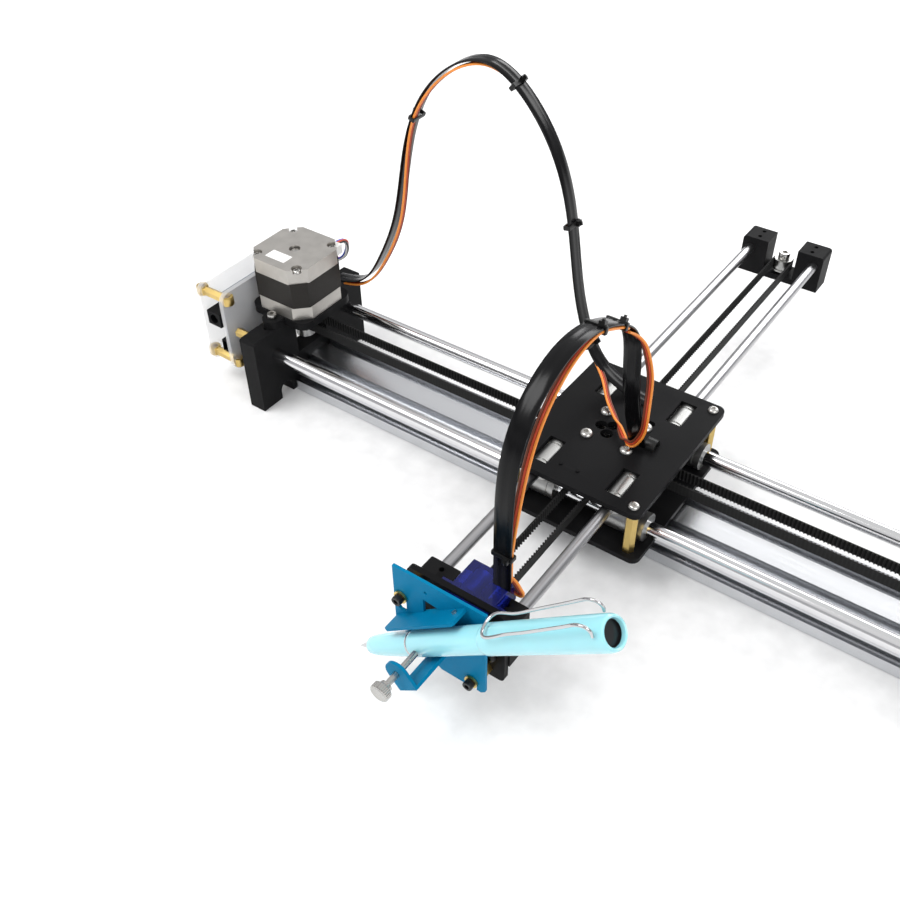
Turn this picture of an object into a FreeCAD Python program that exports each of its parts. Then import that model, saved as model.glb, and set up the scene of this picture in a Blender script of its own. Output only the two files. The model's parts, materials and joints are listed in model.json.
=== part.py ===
import FreeCAD, Part
import math
import os
import re

from FreeCAD import Placement, Rotation, Vector

# Desktop pen plotter: a beam of two round rails and an extrusion, a carriage of two plates that
# slides along it, an arm of two thin rails that slides through the carriage, and a servo-lifted
# pen clamp at the arm's front end. One toothed belt, in the shape of a T, drives both slides.
# Millimetres. Origin: middle of the extrusion's underside. +X along the beam, +Y to the arm's
# rear end, +Z up.

DIMENSIONS = {
    # beam
    "beam_half": 212, "block_thick": 11.5, "block_deep": 96, "block_high": 50, "belt_gap_half": 13,
    "belt_gap_floor": 24, "notch_near": 22, "notch_far": 32, "notch_high": 5,
    "x_rod_radius": 4, "x_rod_half": 223.5, "x_rod_y": 31.3, "x_rod_z": 33.5,
    "extrusion_half": 20, "extrusion_high": 20, "slot_y": 10, "slot_open_half": 3.1, "slot_lip": 1.8,
    "slot_cavity_half": 5.4, "slot_cavity_deep": 4.3, "slot_core_half": 2.6, "slot_core_deep": 6.1,
    "bore_radius": 2.1, "web_hole_half": 2.6, "web_hole_low": 3,
    # motors
    "motor_x": 217, "motor_plate_low": 50, "motor_plate_top": 55, "motor_plate_half": 22,
    "motor_plate_reach": 29.5, "motor_plate_lug": 6, "plate_screw_y": 25.7, "frame_size": 42.3,
    "cap_chamfer": 8.5, "stator_chamfer": 7, "flange_top": 63.5, "stator_top": 79.7, "motor_top": 89,
    "pilot_radius": 11, "pilot_deep": 2, "motor_screw": 15.5, "shaft_radius": 2.5,
    "shaft_low": 30, "shaft_top": 87.5, "rotor_radius": 11.2, "end_bore_radius": 3.4,
    # belt and pulleys
    "belt_low": 37.7, "belt_top": 43.7, "belt_web": 0.63, "tooth_high": 0.75, "pulley_radius": 4.84,
    "pulley_teeth": 16, "flange_radius": 6.5, "flange_thick": 0.95, "hub_radius": 6.5, "hub_low": 30,
    "idler_radius": 5, "idler_flange": 5.75, "fit_gap": 0.02, "running_gap": 0.05,
    # carriage
    "plate_x": 78, "plate_y": 97, "plate_thick": 3, "plate_corner": 4.5, "top_plate_low": 52.5,
    "low_plate_x": 82, "low_plate_low": 23, "standoff_x": 33.5, "standoff_y": 43,
    "x_bearing_radius": 7.5, "x_bearing_long": 24, "x_bearing_x": 25.5,
    "y_bearing_radius": 6, "y_bearing_long": 19, "y_bearing_y": 31.5, "window_half": 4.5,
    "idler_bolt_radius": 2,
    # arm
    "y_rod_radius": 3, "y_rod_x": 21, "y_rod_z": 48.5, "arm_front": -138, "arm_rear": 231.5,
    "arm_block_deep": 15, "arm_block_half": 26.7, "arm_block_low": 31, "arm_block_top": 56,
    "tower_gap_half": 9.85, "rear_floor": 35, "rear_idler_y": 223,
    # head
    "head_half": 26, "head_thick": 3, "head_low": 22, "head_top": 66,
    "servo_left": -5.2, "servo_right": 17.3, "servo_low": 52.1, "servo_top": 64.3,
    "servo_rear": -119.6, "servo_front": -142.3, "ear_thick": 2.5, "ear_long": 4.85,
    "servo_shaft_x": 11.3, "servo_shaft_z": 58.2, "gearbox_front": -146.2, "horn_front": -148.9,
    "horn_back": -146.6, "horn_arm": 15, "horn_rise": 23.6,
    "guide_left_x": -21.4, "guide_left_z": 58.5, "guide_right_x": 15.8, "guide_right_z": 27,
    "guide_radius": 2.4, "guide_travel": 7, "slot_gap": 0.15, "collar_radius": 3.3,
    "collar_thick": 0.9,
    # pen clamp and pen
    "bracket_back": -149.5, "bracket_thick": 1.5, "pen_y": -157.6, "clamp_x": -4, "clamp_z": 46.2,
    "pen_lean": 50.4, "tip_below": 50.5, "shelf_above": 9.8, "shelf_deep": 10, "shelf_low": -17.5,
    "shelf_top": 31, "web_below": 7.6,
    "tab_half": 6, "tab_front": -177.5, "screw_radius": 1.5, "knob_radius": 4.6, "knob_back": -186.3,
    "knob_front": -190, "lift_pin_x": 5.6, "lift_pin_z": 65.2, "lift_pin_radius": 2,
    "clip_turn": 29, "clip_half": 5, "clip_rise": 10, "clip_wire": 0.65,
    "nib_long": 10.5, "grip_end": 44, "barrel_radius": 6.2, "cap_start": 93, "pen_long": 161.5,
    "cap_radius": 6.6, "cap_end_radius": 7.1,
    # controller
    "acrylic_front": -42, "acrylic_rear": 33, "acrylic_low": 15, "acrylic_top": 69.5,
    "inner_acrylic": 239.8, "outer_acrylic": 259, "acrylic_thick": 3, "board_x": 246,
    "board_thick": 1.6, "board_front": -37, "board_rear": 30, "board_low": 18.5, "board_top": 66,
    "corner_inset": 5, "jack_long": 14, "jack_deep": 10.5, "jack_low": 43, "jack_top": 52.5,
    "socket_low": 24, "socket_top": 32, "driver_low": 30, "driver_top": 50, "driver_step": 22,
    # standing strips and servo lead
    "strip_thick": 1, "strip_wide": 9, "rear_strip_y": 25.5, "front_strip_x": 9.5,
    "lead_wide": 3.9, "lead_thick": 1.3, "lead_gap": 0.15, "tie_thick": 0.8, "tie_wide": 2.2,
    "lock_long": 2.8, "lock_high": 1.8,
    "bundle_radius": 1.4, "lead_radius": 1.5,
}

# Routes of what is flexible. The strips stand in a plane each: X and Z, or Y and Z.
REAR_ARCH = ((-213, 55.6), (-192, 62), (-175, 84), (-162, 114), (-150, 166), (-131, 200), (-101, 215),
             (-73, 197), (-54, 161), (-47, 126), (-38, 88), (-26, 68), (-4, 57.2), (3, 56.05))
FRONT_ARCH = ((-3.5, 55.75), (-14, 84), (-21, 111), (-27, 138), (-50, 158), (-90, 165), (-116, 148),
              (-126, 105), (-126, 74), (-126, 64.4))
# the short post that a tie holds on to, on the carriage
POST_AT = ("y_rod_x - 1", 0)
# how far along its arch each tie sits, and where the lead lies against the strip
REAR_TIES = (0.36, 0.55, 0.73, 0.89)
FRONT_TIES = (0.39, 0.47, 0.925)
REAR_LEAD = (0.07, 0.92)
FRONT_LEAD = (0.32, 0.99)
MOTOR_LEAD = ((-208, 23.6, 83), (-208, 33, 81), (-214, 38, 66), (-233, 39, 58), (-249, 38, 55),
              (-250.5, 25.5, 53))
LEAD_CROSSING = ((-32.5, 27.5, 72), (-25.5, 22.5, 64.5), (-15, 14, 61.5), (-4, 2, 59.5), (7, -9.5, 59),
                 (15, -13, 61), (20.8, -13.5, 69), (21.3, -14, 84), (21.3, -18, 104), (20.4, -25, 121),
                 (17, -31, 133.5))

doc = FreeCAD.newDocument("PenPlotter")
sheet = doc.addObject("Spreadsheet::Sheet", "Dims")
for row, (alias, value) in enumerate(DIMENSIONS.items(), start=1):
    sheet.set(f"A{row}", alias)
    sheet.set(f"B{row}", str(value))
    sheet.setAlias(f"B{row}", alias)
doc.recompute()

ALIAS = re.compile(r"[a-z][a-z_]*")
TURNS = {"x": Rotation(Vector(0, 1, 0), 90), "y": Rotation(Vector(1, 0, 0), -90), "z": Rotation()}
FLIPS = {"+x": Rotation(Vector(0, 1, 0), 90), "-x": Rotation(Vector(0, 1, 0), -90),
         "+y": Rotation(Vector(1, 0, 0), -90), "-y": Rotation(Vector(1, 0, 0), 90),
         "+z": Rotation(), "-z": Rotation(Vector(1, 0, 0), 180)}
SIDES = (("left", -1), ("right", 1))
nodes = {}


def size(alias):
    """A driving dimension as a plain number, read from the sheet."""
    return float(sheet.get(alias))


def formula(text):
    """An expression on the sheet, from text that names its cells by their aliases."""
    return ALIAS.sub(lambda m: "Dims." + m.group() if m.group() in DIMENSIONS else m.group(), str(text))


def bind(obj, **sizes):
    for name, text in sizes.items():
        obj.setExpression(name, formula(text))
    return obj


def place(obj, x=0, y=0, z=0, rotation=None):
    if rotation is not None:
        obj.Placement = Placement(Vector(), rotation)
    for axis, text in zip("xyz", (x, y, z)):
        obj.setExpression(f"Placement.Base.{axis}", formula(text))
    return obj


def slab(x, y, z):
    """A box from its low and high limits along each axis."""
    box = doc.addObject("Part::Box", "Slab")
    bind(box, Length=f"{x[1]} - ({x[0]})", Width=f"{y[1]} - ({y[0]})", Height=f"{z[1]} - ({z[0]})")
    return place(box, x[0], y[0], z[0])


def cylinder(axis, radius, low, high, at):
    """A cylinder along an axis; at holds its other two coordinates, in X, Y, Z order."""
    obj = doc.addObject("Part::Cylinder", "Round")
    bind(obj, Radius=radius, Height=f"{high} - ({low})")
    base = list(at)
    base.insert("xyz".index(axis), low)
    return place(obj, *base, rotation=TURNS[axis])


def cone(low_radius, high_radius, low, high):
    obj = doc.addObject("Part::Cone", "Taper")
    bind(obj, Radius1=low_radius, Radius2=high_radius, Height=f"{high} - ({low})")
    return place(obj, z=low)


def hexagon(across_flats, low, high, at=(0, 0)):
    obj = doc.addObject("Part::Prism", "Hexagon")
    obj.Polygon = 6
    bind(obj, Circumradius=f"({across_flats}) / 1.7320508", Height=f"{high} - ({low})")
    return place(obj, at[0], at[1], low)


def join(*items):
    if len(items) == 1:
        return items[0]
    obj = doc.addObject("Part::MultiFuse", "Join")
    obj.Shapes = list(items)
    return obj


def cut(base, *tools):
    obj = doc.addObject("Part::Cut", "Cut")
    obj.Base = base
    obj.Tool = join(*tools)
    return obj


def common(first, second):
    obj = doc.addObject("Part::Common", "Common")
    obj.Base = first
    obj.Tool = second
    return obj


def group(items):
    """Several like pieces that share one node and stay separate solids."""
    obj = doc.addObject("Part::Compound", "Group")
    obj.Links = list(items)
    return obj


def rounded(obj, radius, wanted):
    """Rounds the edges whose middle point and direction satisfy wanted(point, direction)."""
    doc.recompute()
    edges = []
    for index, edge in enumerate(obj.Shape.Edges, start=1):
        middle = edge.valueAt((edge.FirstParameter + edge.LastParameter) / 2)
        along = edge.tangentAt((edge.FirstParameter + edge.LastParameter) / 2)
        if wanted(middle, along):
            edges.append((index, radius, radius))
    result = doc.addObject("Part::Fillet", "Rounded")
    result.Base = obj
    result.Edges = edges
    return result


def upright(middle, along):
    return abs(along.z) > 0.99


def shaped(shape):
    """A solid that no primitive describes, made with Part's own functions."""
    obj = doc.addObject("Part::Feature", "Shaped")
    obj.Shape = shape
    return obj


def node(name, obj):
    obj.Label = name
    nodes[name] = obj
    return obj


def mirrored(side, low, high):
    """The limits low to high to the right of the middle, or their mirror image."""
    return (low, high) if side > 0 else (f"-({high})", f"-({low})")


def screw(x, y, z, facing, length, radius=1.5, head=2.9, head_high=1.7, socket=2):
    """A screw seated at a point: its head stands out along facing, its shank goes the other way."""
    crown = doc.addObject("Part::Cylinder", "Head")
    bind(crown, Radius=head, Height=head_high)
    shank = doc.addObject("Part::Cylinder", "Shank")
    bind(shank, Radius=radius, Height=length)
    place(shank, z=f"-({length})")
    recess = hexagon(socket, f"{head_high} * 0.4", f"{head_high} + 1")
    return place(cut(join(crown, shank), recess), x, y, z, rotation=FLIPS[facing])


def octagon(width, chamfer, low, high):
    """A square block with its four corners cut off."""
    across = (f"-({width}) / 2", f"({width}) / 2")
    square = slab(across, across, (low, high))
    turned = doc.addObject("Part::Box", "Corner")
    side = f"1.41421356 * ({width} - {chamfer})"
    bind(turned, Length=side, Width=side, Height=f"{high} - {low}")
    place(turned, 0, f"-({width} - {chamfer})", low, rotation=Rotation(Vector(0, 0, 1), 45))
    return common(square, turned)


# ---------------------------------------------------------------- beam

def make_beam():
    for name, side in (("front", -1), ("rear", 1)):
        rod = cylinder("x", "x_rod_radius", "-x_rod_half", "x_rod_half", (f"{side} * x_rod_y", "x_rod_z"))
        node(f"x_rod_{name}", rod)
    node("x_extrusion", make_extrusion())
    for name, side in SIDES:
        node(f"end_block_{name}", make_end_block(side))


def make_extrusion():
    along = ("-beam_half", "beam_half")
    tools = []
    levels = (("slot_open_half", "0", "slot_lip"), ("slot_cavity_half", "slot_lip", "slot_cavity_deep"),
              ("slot_core_half", "slot_cavity_deep", "slot_core_deep"))
    for half, near, deep in levels:
        for middle in ("slot_y", "-slot_y"):
            across = (f"{middle} - {half}", f"{middle} + {half}")
            tools.append(slab(along, across, (near, deep)))
            tools.append(slab(along, across, (f"extrusion_high - {deep}", f"extrusion_high - {near}")))
        for side in (-1, 1):
            reach = mirrored(side, f"extrusion_half - {deep}", f"extrusion_half - {near}")
            tools.append(slab(along, reach, (f"extrusion_high / 2 - {half}", f"extrusion_high / 2 + {half}")))
    for middle in ("slot_y", "-slot_y"):
        tools.append(cylinder("x", "bore_radius", *along, (middle, "extrusion_high / 2")))
    tools.append(slab(along, ("-web_hole_half", "web_hole_half"),
                      ("web_hole_low", "extrusion_high - web_hole_low")))
    body = slab(along, ("-extrusion_half", "extrusion_half"), (0, "extrusion_high"))
    return cut(body, *tools)


def make_end_block(side):
    thick = mirrored(side, "beam_half", "beam_half + block_thick")
    body = slab(thick, ("-block_deep / 2", "block_deep / 2"), (0, "block_high"))
    top = size("block_high")
    body = rounded(body, 2, lambda middle, along: abs(along.x) > 0.99 and middle.z > top - 1)
    tools = [slab(thick, ("-belt_gap_half", "belt_gap_half"), ("belt_gap_floor", "block_high"))]
    middle_x = f"{side} * (beam_half + block_thick / 2)"
    for front in (-1, 1):
        tools.append(slab(thick, mirrored(front, "notch_near", "notch_far"), (0, "notch_high")))
        notch_y = f"{front} * (notch_near + notch_far) / 2"
        tools.append(cylinder("x", "(notch_far - notch_near) / 2", *thick, (notch_y, "notch_high")))
        tools.append(cylinder("x", "x_rod_radius", *thick, (f"{front} * x_rod_y", "x_rod_z")))
        tools.append(cylinder("z", 1.5, "x_rod_z", "block_high", (middle_x, f"{front} * x_rod_y")))
        tools.append(cylinder("x", 2.1, *thick, (f"{front} * slot_y", "extrusion_high / 2")))
        tools.append(cylinder("z", 1.5, 40, "block_high", (f"{side} * motor_x", f"{front} * plate_screw_y")))
    return cut(body, *tools)


def make_block_screws():
    """Extrusion bolts on the outer faces, and a set screw down onto each rail in each tower."""
    screws = []
    for name, side in SIDES:
        facing = "+x" if side > 0 else "-x"
        for front in (-1, 1):
            screws.append(screw(f"{side} * (beam_half + block_thick)", f"{front} * slot_y",
                                "extrusion_high / 2", facing, 24, "bore_radius", 4.2, 4, 4))
            grub = cylinder("z", 1.5, "x_rod_z + x_rod_radius", "block_high - 2",
                            (f"{side} * (beam_half + block_thick / 2)", f"{front} * x_rod_y"))
            screws.append(grub)
    return screws


# ---------------------------------------------------------------- motors

def make_motors():
    flanges, stators, caps, case_screws, mount_screws = [], [], [], [], []
    for name, side in SIDES:
        motor_x = f"{side} * motor_x"
        node(f"motor_plate_{name}", make_motor_plate(side))
        flanges.append(place(make_motor_flange(), motor_x))
        stators.append(place(make_stator(), motor_x))
        caps.append(place(make_motor_cap(), motor_x))
        node(f"motor_rotor_{name}", place(make_rotor(), motor_x))
        node(f"pulley_{name}", place(make_pulley(), motor_x))
        for across in (-1, 1):
            for front in (-1, 1):
                x = f"{side} * motor_x + {across} * motor_screw"
                y = f"{front} * motor_screw"
                case_screws.append(screw(x, y, "motor_top - 2.6", "+z", 26, 1.5, 2.7, 1.7))
                mount_screws.append(screw(x, y, "motor_plate_low", "-z", 9, 1.5, 2.75, 3))
        for front in (-1, 1):
            mount_screws.append(screw(motor_x, f"{front} * plate_screw_y", "motor_plate_top",
                                      "+z", 13, 1.5, 2.75, 3, 2.5))
    node("motor_flanges", group(flanges))
    node("motor_stators", group(stators))
    node("motor_caps", group(caps))
    node("motor_case_screws", group(case_screws))
    make_motor_lead()
    return mount_screws


def make_motor_plate(side):
    """A round-cornered plate with a lug over each tower, and a hole for the motor's pilot."""
    middle = f"{side} * motor_x"
    levels = ("motor_plate_low", "motor_plate_top")
    square = slab((f"{middle} - motor_plate_half", f"{middle} + motor_plate_half"),
                  ("-motor_plate_half", "motor_plate_half"), levels)
    lugs = [slab((f"{middle} - motor_plate_lug", f"{middle} + motor_plate_lug"),
                 ("-plate_screw_y", "plate_screw_y"), levels)]
    for front in (-1, 1):
        lugs.append(cylinder("z", "motor_plate_lug", *levels, (middle, f"{front} * plate_screw_y")))
    body = join(rounded(square, 7, upright), *lugs)
    tools = [cylinder("z", "pilot_radius", *levels, (middle, 0))]
    for front in (-1, 1):
        tools.append(cylinder("z", 1.5, *levels, (middle, f"{front} * plate_screw_y")))
        for across in (-1, 1):
            at = (f"{middle} + {across} * motor_screw", f"{front} * motor_screw")
            tools.append(cylinder("z", 1.5, *levels, at))
    return cut(body, *tools)


def corner_holes(radius, low, high):
    return [cylinder("z", radius, low, high, (f"{a} * motor_screw", f"{b} * motor_screw"))
            for a in (-1, 1) for b in (-1, 1)]


def make_motor_flange():
    body = join(octagon("frame_size", "cap_chamfer", "motor_plate_top", "flange_top"),
                cylinder("z", "pilot_radius", "motor_plate_top - pilot_deep", "motor_plate_top", (0, 0)))
    bore = cylinder("z", "shaft_radius + running_gap", "motor_plate_low", "flange_top", (0, 0))
    return cut(body, bore, *corner_holes(1.5, "motor_plate_top", "flange_top"))


def make_stator():
    bore = cylinder("z", "rotor_radius + 0.3", "flange_top", "stator_top", (0, 0))
    holes = corner_holes(1.5, "flange_top", "stator_top")
    return cut(octagon("frame_size - 0.4", "stator_chamfer", "flange_top", "stator_top"), bore, *holes)


def make_motor_cap():
    tools = [cylinder("z", "shaft_radius + running_gap", "stator_top", "motor_top", (0, 0)),
             cylinder("z", "end_bore_radius", "motor_top - 4", "motor_top", (0, 0)),
             slab((2, 16), ("frame_size / 2 - 3", "frame_size / 2"), ("stator_top", "stator_top + 6.5"))]
    tools += corner_holes(1.5, "stator_top", "motor_top")
    tools += corner_holes(3.1, "motor_top - 2.6", "motor_top")
    return cut(octagon("frame_size", "cap_chamfer", "stator_top", "motor_top"), *tools)


def make_rotor():
    """The shaft with the rotor pressed on it."""
    return join(cylinder("z", "shaft_radius", "shaft_low", "shaft_top", (0, 0)),
                cylinder("z", "rotor_radius", "flange_top + 0.5", "stator_top - 0.5", (0, 0)))


def make_pulley():
    """Toothed drum between two flanges, with the hub below it."""
    drum = cylinder("z", "pulley_radius", "belt_low - flange_thick", "belt_top + flange_thick", (0, 0))
    grooves = []
    teeth = int(size("pulley_teeth"))
    for index in range(teeth):
        angle = 2 * math.pi * index / teeth
        at = (f"pulley_radius * {math.cos(angle):.6f}", f"pulley_radius * {math.sin(angle):.6f}")
        grooves.append(cylinder("z", 0.55, "belt_low - flange_thick", "belt_top + flange_thick", at))
    body = join(cut(drum, *grooves),
                cylinder("z", "flange_radius", "belt_low - flange_thick", "belt_low - running_gap", (0, 0)),
                cylinder("z", "flange_radius", "belt_top + running_gap", "belt_top + flange_thick", (0, 0)),
                cylinder("z", "hub_radius - 0.5", "hub_low", "belt_low - flange_thick", (0, 0)))
    return cut(body, cylinder("z", "shaft_radius", "hub_low", "belt_top + flange_thick", (0, 0)))


def make_motor_lead():
    """The left motor's lead: its plug shell in the end cap, and the bundle round to the board."""
    plug_x = "-motor_x + 9"
    shell = slab((f"{plug_x} - 6.8", f"{plug_x} + 6.8"), ("frame_size / 2 - 2.8", "frame_size / 2 + 2.4"),
                 ("stator_top + 0.2", "stator_top + 6.2"))
    board_plug = slab(("-(board_x + board_thick) - 6", "-(board_x + board_thick)"), (20, 25.5), (48, 58))
    bundle = tube(MOTOR_LEAD, size("bundle_radius"))
    node("motor_lead", group([shell, board_plug, shaped(bundle)]))


# ---------------------------------------------------------------- controller

def make_controller():
    for name, inner_face in (("inner", "inner_acrylic"), ("outer", "outer_acrylic")):
        sheet_plate = slab((f"-({inner_face} + acrylic_thick)", f"-{inner_face}"),
                           ("acrylic_front", "acrylic_rear"), ("acrylic_low", "acrylic_top"))
        plate = rounded(sheet_plate, 6, lambda middle, along: abs(along.x) > 0.99)
        holes = [cylinder("x", 1.5, f"-({inner_face} + acrylic_thick)", f"-{inner_face}", at)
                 for at in controller_corners()]
        node(f"acrylic_{name}", cut(plate, *holes))
    board = slab(("-(board_x + board_thick)", "-board_x"), ("board_front", "board_rear"),
                 ("board_low", "board_top"))
    holes = [cylinder("x", 3.2, "-(board_x + board_thick)", "-board_x", at) for at in controller_corners()]
    node("controller_board", cut(board, *holes))
    back = "-(board_x + board_thick)"
    mouth_y = "board_front - 3"
    jack_at = (f"{back} - jack_deep / 2", "(jack_low + jack_top) / 2")
    jack = slab((f"{back} - jack_deep", back), (mouth_y, f"{mouth_y} + jack_long"), ("jack_low", "jack_top"))
    jack_bore = cylinder("y", 3.1, mouth_y, f"{mouth_y} + 10", jack_at)
    jack_pin = cylinder("y", 1, f"{mouth_y} + 2", f"{mouth_y} + 10", jack_at)
    sockets = [join(cut(jack, jack_bore), jack_pin)]
    socket = slab((f"{back} - 4.5", back), ("board_front - 1", "board_front + 7"),
                  ("socket_low", "socket_top"))
    mouth = slab((f"{back} - 3.8", f"{back} - 0.7"), ("board_front - 1", "board_front + 6"),
                 ("socket_low + 0.8", "socket_top - 0.8"))
    sockets.append(cut(socket, mouth))
    node("board_sockets", group(sockets))
    node("driver_heatsinks", group([make_driver(back, f"{row} * driver_step - 12") for row in range(2)]))
    standoffs, screws = [], []
    outer_face = "-(outer_acrylic + acrylic_thick)"
    for y, z in controller_corners():
        post = turned_hexagon(5, "-outer_acrylic", "-(inner_acrylic + acrylic_thick)", y, z)
        standoffs.append(post)
        screws.append(screw(outer_face, y, z, "-x", "acrylic_thick", 1.5, 2.8, 1.8))
        screws.append(screw("-inner_acrylic", y, z, "+x", "acrylic_thick", 1.5, 2.8, 1.8))
    for y, z in (("acrylic_front + 8", 40), ("acrylic_rear - 2 * corner_inset + 4", 40)):
        standoffs.append(turned_hexagon(5, "-inner_acrylic", "-(beam_half + block_thick)", y, z))
    node("controller_standoffs", group(standoffs))
    return screws


def make_driver(back, y):
    """A driver board with a finned heatsink on it."""
    levels = ("driver_low + 6", "driver_top - 5")
    board = slab((f"{back} - 3", back), (f"{y} - 7", f"{y} + 7"), ("driver_low", "driver_top"))
    base = slab((f"{back} - 4", f"{back} - 3"), (f"{y} - 5.5", f"{y} + 4.5"), levels)
    fins = [slab((f"{back} - 8", f"{back} - 3"), (f"{y} + {3 * fin - 5.5}", f"{y} + {3 * fin - 4.5}"), levels)
            for fin in range(4)]
    return join(board, base, *fins)


def controller_corners():
    return [(y, z) for y in ("acrylic_front + corner_inset", "acrylic_rear - corner_inset")
            for z in ("acrylic_low + corner_inset", "acrylic_top - corner_inset")]


def turned_hexagon(across_flats, low, high, y, z):
    """A hexagonal post along X."""
    post = hexagon(across_flats, 0, f"{high} - ({low})")
    return place(post, low, y, z, rotation=TURNS["x"])


# ---------------------------------------------------------------- carriage

def make_carriage():
    node("top_plate", make_carriage_plate("plate_x", "top_plate_low", True))
    node("bottom_plate", make_carriage_plate("low_plate_x", "low_plate_low", False))
    standoffs, screws = [], []
    for x, y in carriage_corners():
        post = hexagon(5.5, "low_plate_low + plate_thick", "top_plate_low", (x, y))
        bore = cylinder("z", 1.5, "low_plate_low + plate_thick", "top_plate_low", (x, y))
        standoffs.append(cut(post, bore))
        screws.append(screw(x, y, "top_plate_low + plate_thick", "+z", 9))
        screws.append(screw(x, y, "low_plate_low", "-z", 9, 1.5, 2.9, 1.3))
    node("carriage_standoffs", group(standoffs))
    screws.append(screw(*POST_AT, "top_plate_low + plate_thick", "+z", 2.9, 1.5, 3, 3, 2.5))
    node("carriage_screws", group(screws))
    node("x_bearings", group(make_bearings("x")))
    node("y_bearings", group(make_bearings("y")))
    bolts = []
    for name, side, front in idler_corners():
        bolts.append(screw(idler_x(side), idler_y(front), "top_plate_low + plate_thick", "+z",
                           "top_plate_low - low_plate_low + plate_thick", "idler_bolt_radius", 3.5, 2, 2.5))
        node(f"idler_{name}", place(make_idler("idler_bolt_radius"), idler_x(side), idler_y(front)))
    node("idler_bolts", group(bolts))
    node("limit_switch", make_limit_switch())


def carriage_corners():
    return [(f"{a} * standoff_x", f"{b} * standoff_y") for a in (-1, 1) for b in (-1, 1)]


def idler_corners():
    rows = (("front", -1), ("rear", 1))
    return [(f"{row}_{name}", side, front) for name, side in SIDES for row, front in rows]


def idler_x(side):
    """The belt's runs along the arm pass between the idlers, with their backs against them."""
    return f"{side} * (idler_radius + tooth_high + belt_web + fit_gap + idler_radius + fit_gap)"


def idler_y(front):
    return f"{front} * (pulley_radius + belt_web + idler_radius + 2 * fit_gap)"


def make_carriage_plate(width, low, top):
    levels = (low, f"{low} + plate_thick")
    plate = rounded(slab((f"-{width} / 2", f"{width} / 2"), ("-plate_y / 2", "plate_y / 2"), levels),
                    size("plate_corner"), upright)
    tools = [cylinder("z", 1.5, *levels, at) for at in carriage_corners()]
    for name, side, front in idler_corners():
        tools.append(cylinder("z", "idler_bolt_radius", *levels, (idler_x(side), idler_y(front))))
    if top:
        for a in (-1, 1):
            for b in (-1, 1):
                x, y = f"{a} * y_rod_x", f"{b} * y_bearing_y"
                window_y = (f"{y} - y_bearing_long / 2 - 0.1", f"{y} + y_bearing_long / 2 + 0.1")
                tools.append(slab((f"{x} - window_half", f"{x} + window_half"), window_y, levels))
        tools.append(cylinder("z", 1.5, *levels, POST_AT))
        tools += [cylinder("z", 1, *levels, (x, -37)) for x in (-10.4, -0.9)]
        # three round lobes and a slot, for the servo lead to pass through
        tools += [cylinder("z", 3.3, *levels, at) for at in ((-8.5, 0), (-3, -4.5), (-3, 3))]
        tools += [cylinder("z", 2.2, *levels, (x, 15)) for x in (5, 12)]
        tools.append(slab((5, 12), (12.8, 17.2), levels))
    return cut(plate, *tools)


def make_bearings(axis):
    """Linear ball bearings: a shell with two retaining-ring grooves, and a lip at each end."""
    bearings = []
    shell, bore, long = f"{axis}_bearing_radius", f"{axis}_rod_radius + running_gap", f"{axis}_bearing_long"
    for a in (-1, 1):
        for b in (-1, 1):
            if axis == "x":
                middle, at = f"{a} * x_bearing_x", (f"{b} * x_rod_y", "x_rod_z")
            else:
                middle, at = f"{b} * y_bearing_y", (f"{a} * y_rod_x", "y_rod_z")
            ends = (f"{middle} - {long} / 2", f"{middle} + {long} / 2")
            body = cylinder(axis, shell, *ends, at)
            tools = [cylinder(axis, bore, *ends, at)]
            for sign in (-1, 1):
                groove = f"{middle} + {sign} * {long} * 0.36"
                ring = cut(cylinder(axis, f"{shell} + 1", f"{groove} - 0.55", f"{groove} + 0.55", at),
                           cylinder(axis, f"{shell} - 0.4", f"{groove} - 0.55", f"{groove} + 0.55", at))
                tools.append(ring)
            bearings.append(cut(body, *tools))
    return bearings


def make_idler(bolt):
    """A smooth drum of two flanged bearings, running on its bolt."""
    drum = join(cylinder("z", "idler_radius", "belt_low - flange_thick", "belt_top + flange_thick", (0, 0)),
                cylinder("z", "idler_flange", "belt_low - flange_thick", "belt_low - running_gap", (0, 0)),
                cylinder("z", "idler_flange", "belt_top + running_gap", "belt_top + flange_thick", (0, 0)))
    return cut(drum, cylinder("z", f"{bolt} + running_gap", "belt_low - flange_thick",
                              "belt_top + flange_thick", (0, 0)))


def make_limit_switch():
    """A small lever switch under the top plate's front edge, with its two screws."""
    body = slab((-14.6, 4.3), (-40, -34), ("top_plate_low - 8.3", "top_plate_low"))
    lever = slab((-14, 4), (-40.6, -40), ("top_plate_low - 7", "top_plate_low - 3"))
    roller = slab((-3, -1), (-41.5, -40.6), ("top_plate_low - 6.5", "top_plate_low - 3.5"))
    screws = [cylinder("z", 1, "top_plate_low", "top_plate_low + plate_thick + 0.5", (x, -37))
              for x in (-10.4, -0.9)]
    return join(body, lever, roller, *screws)


# ---------------------------------------------------------------- arm

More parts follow.
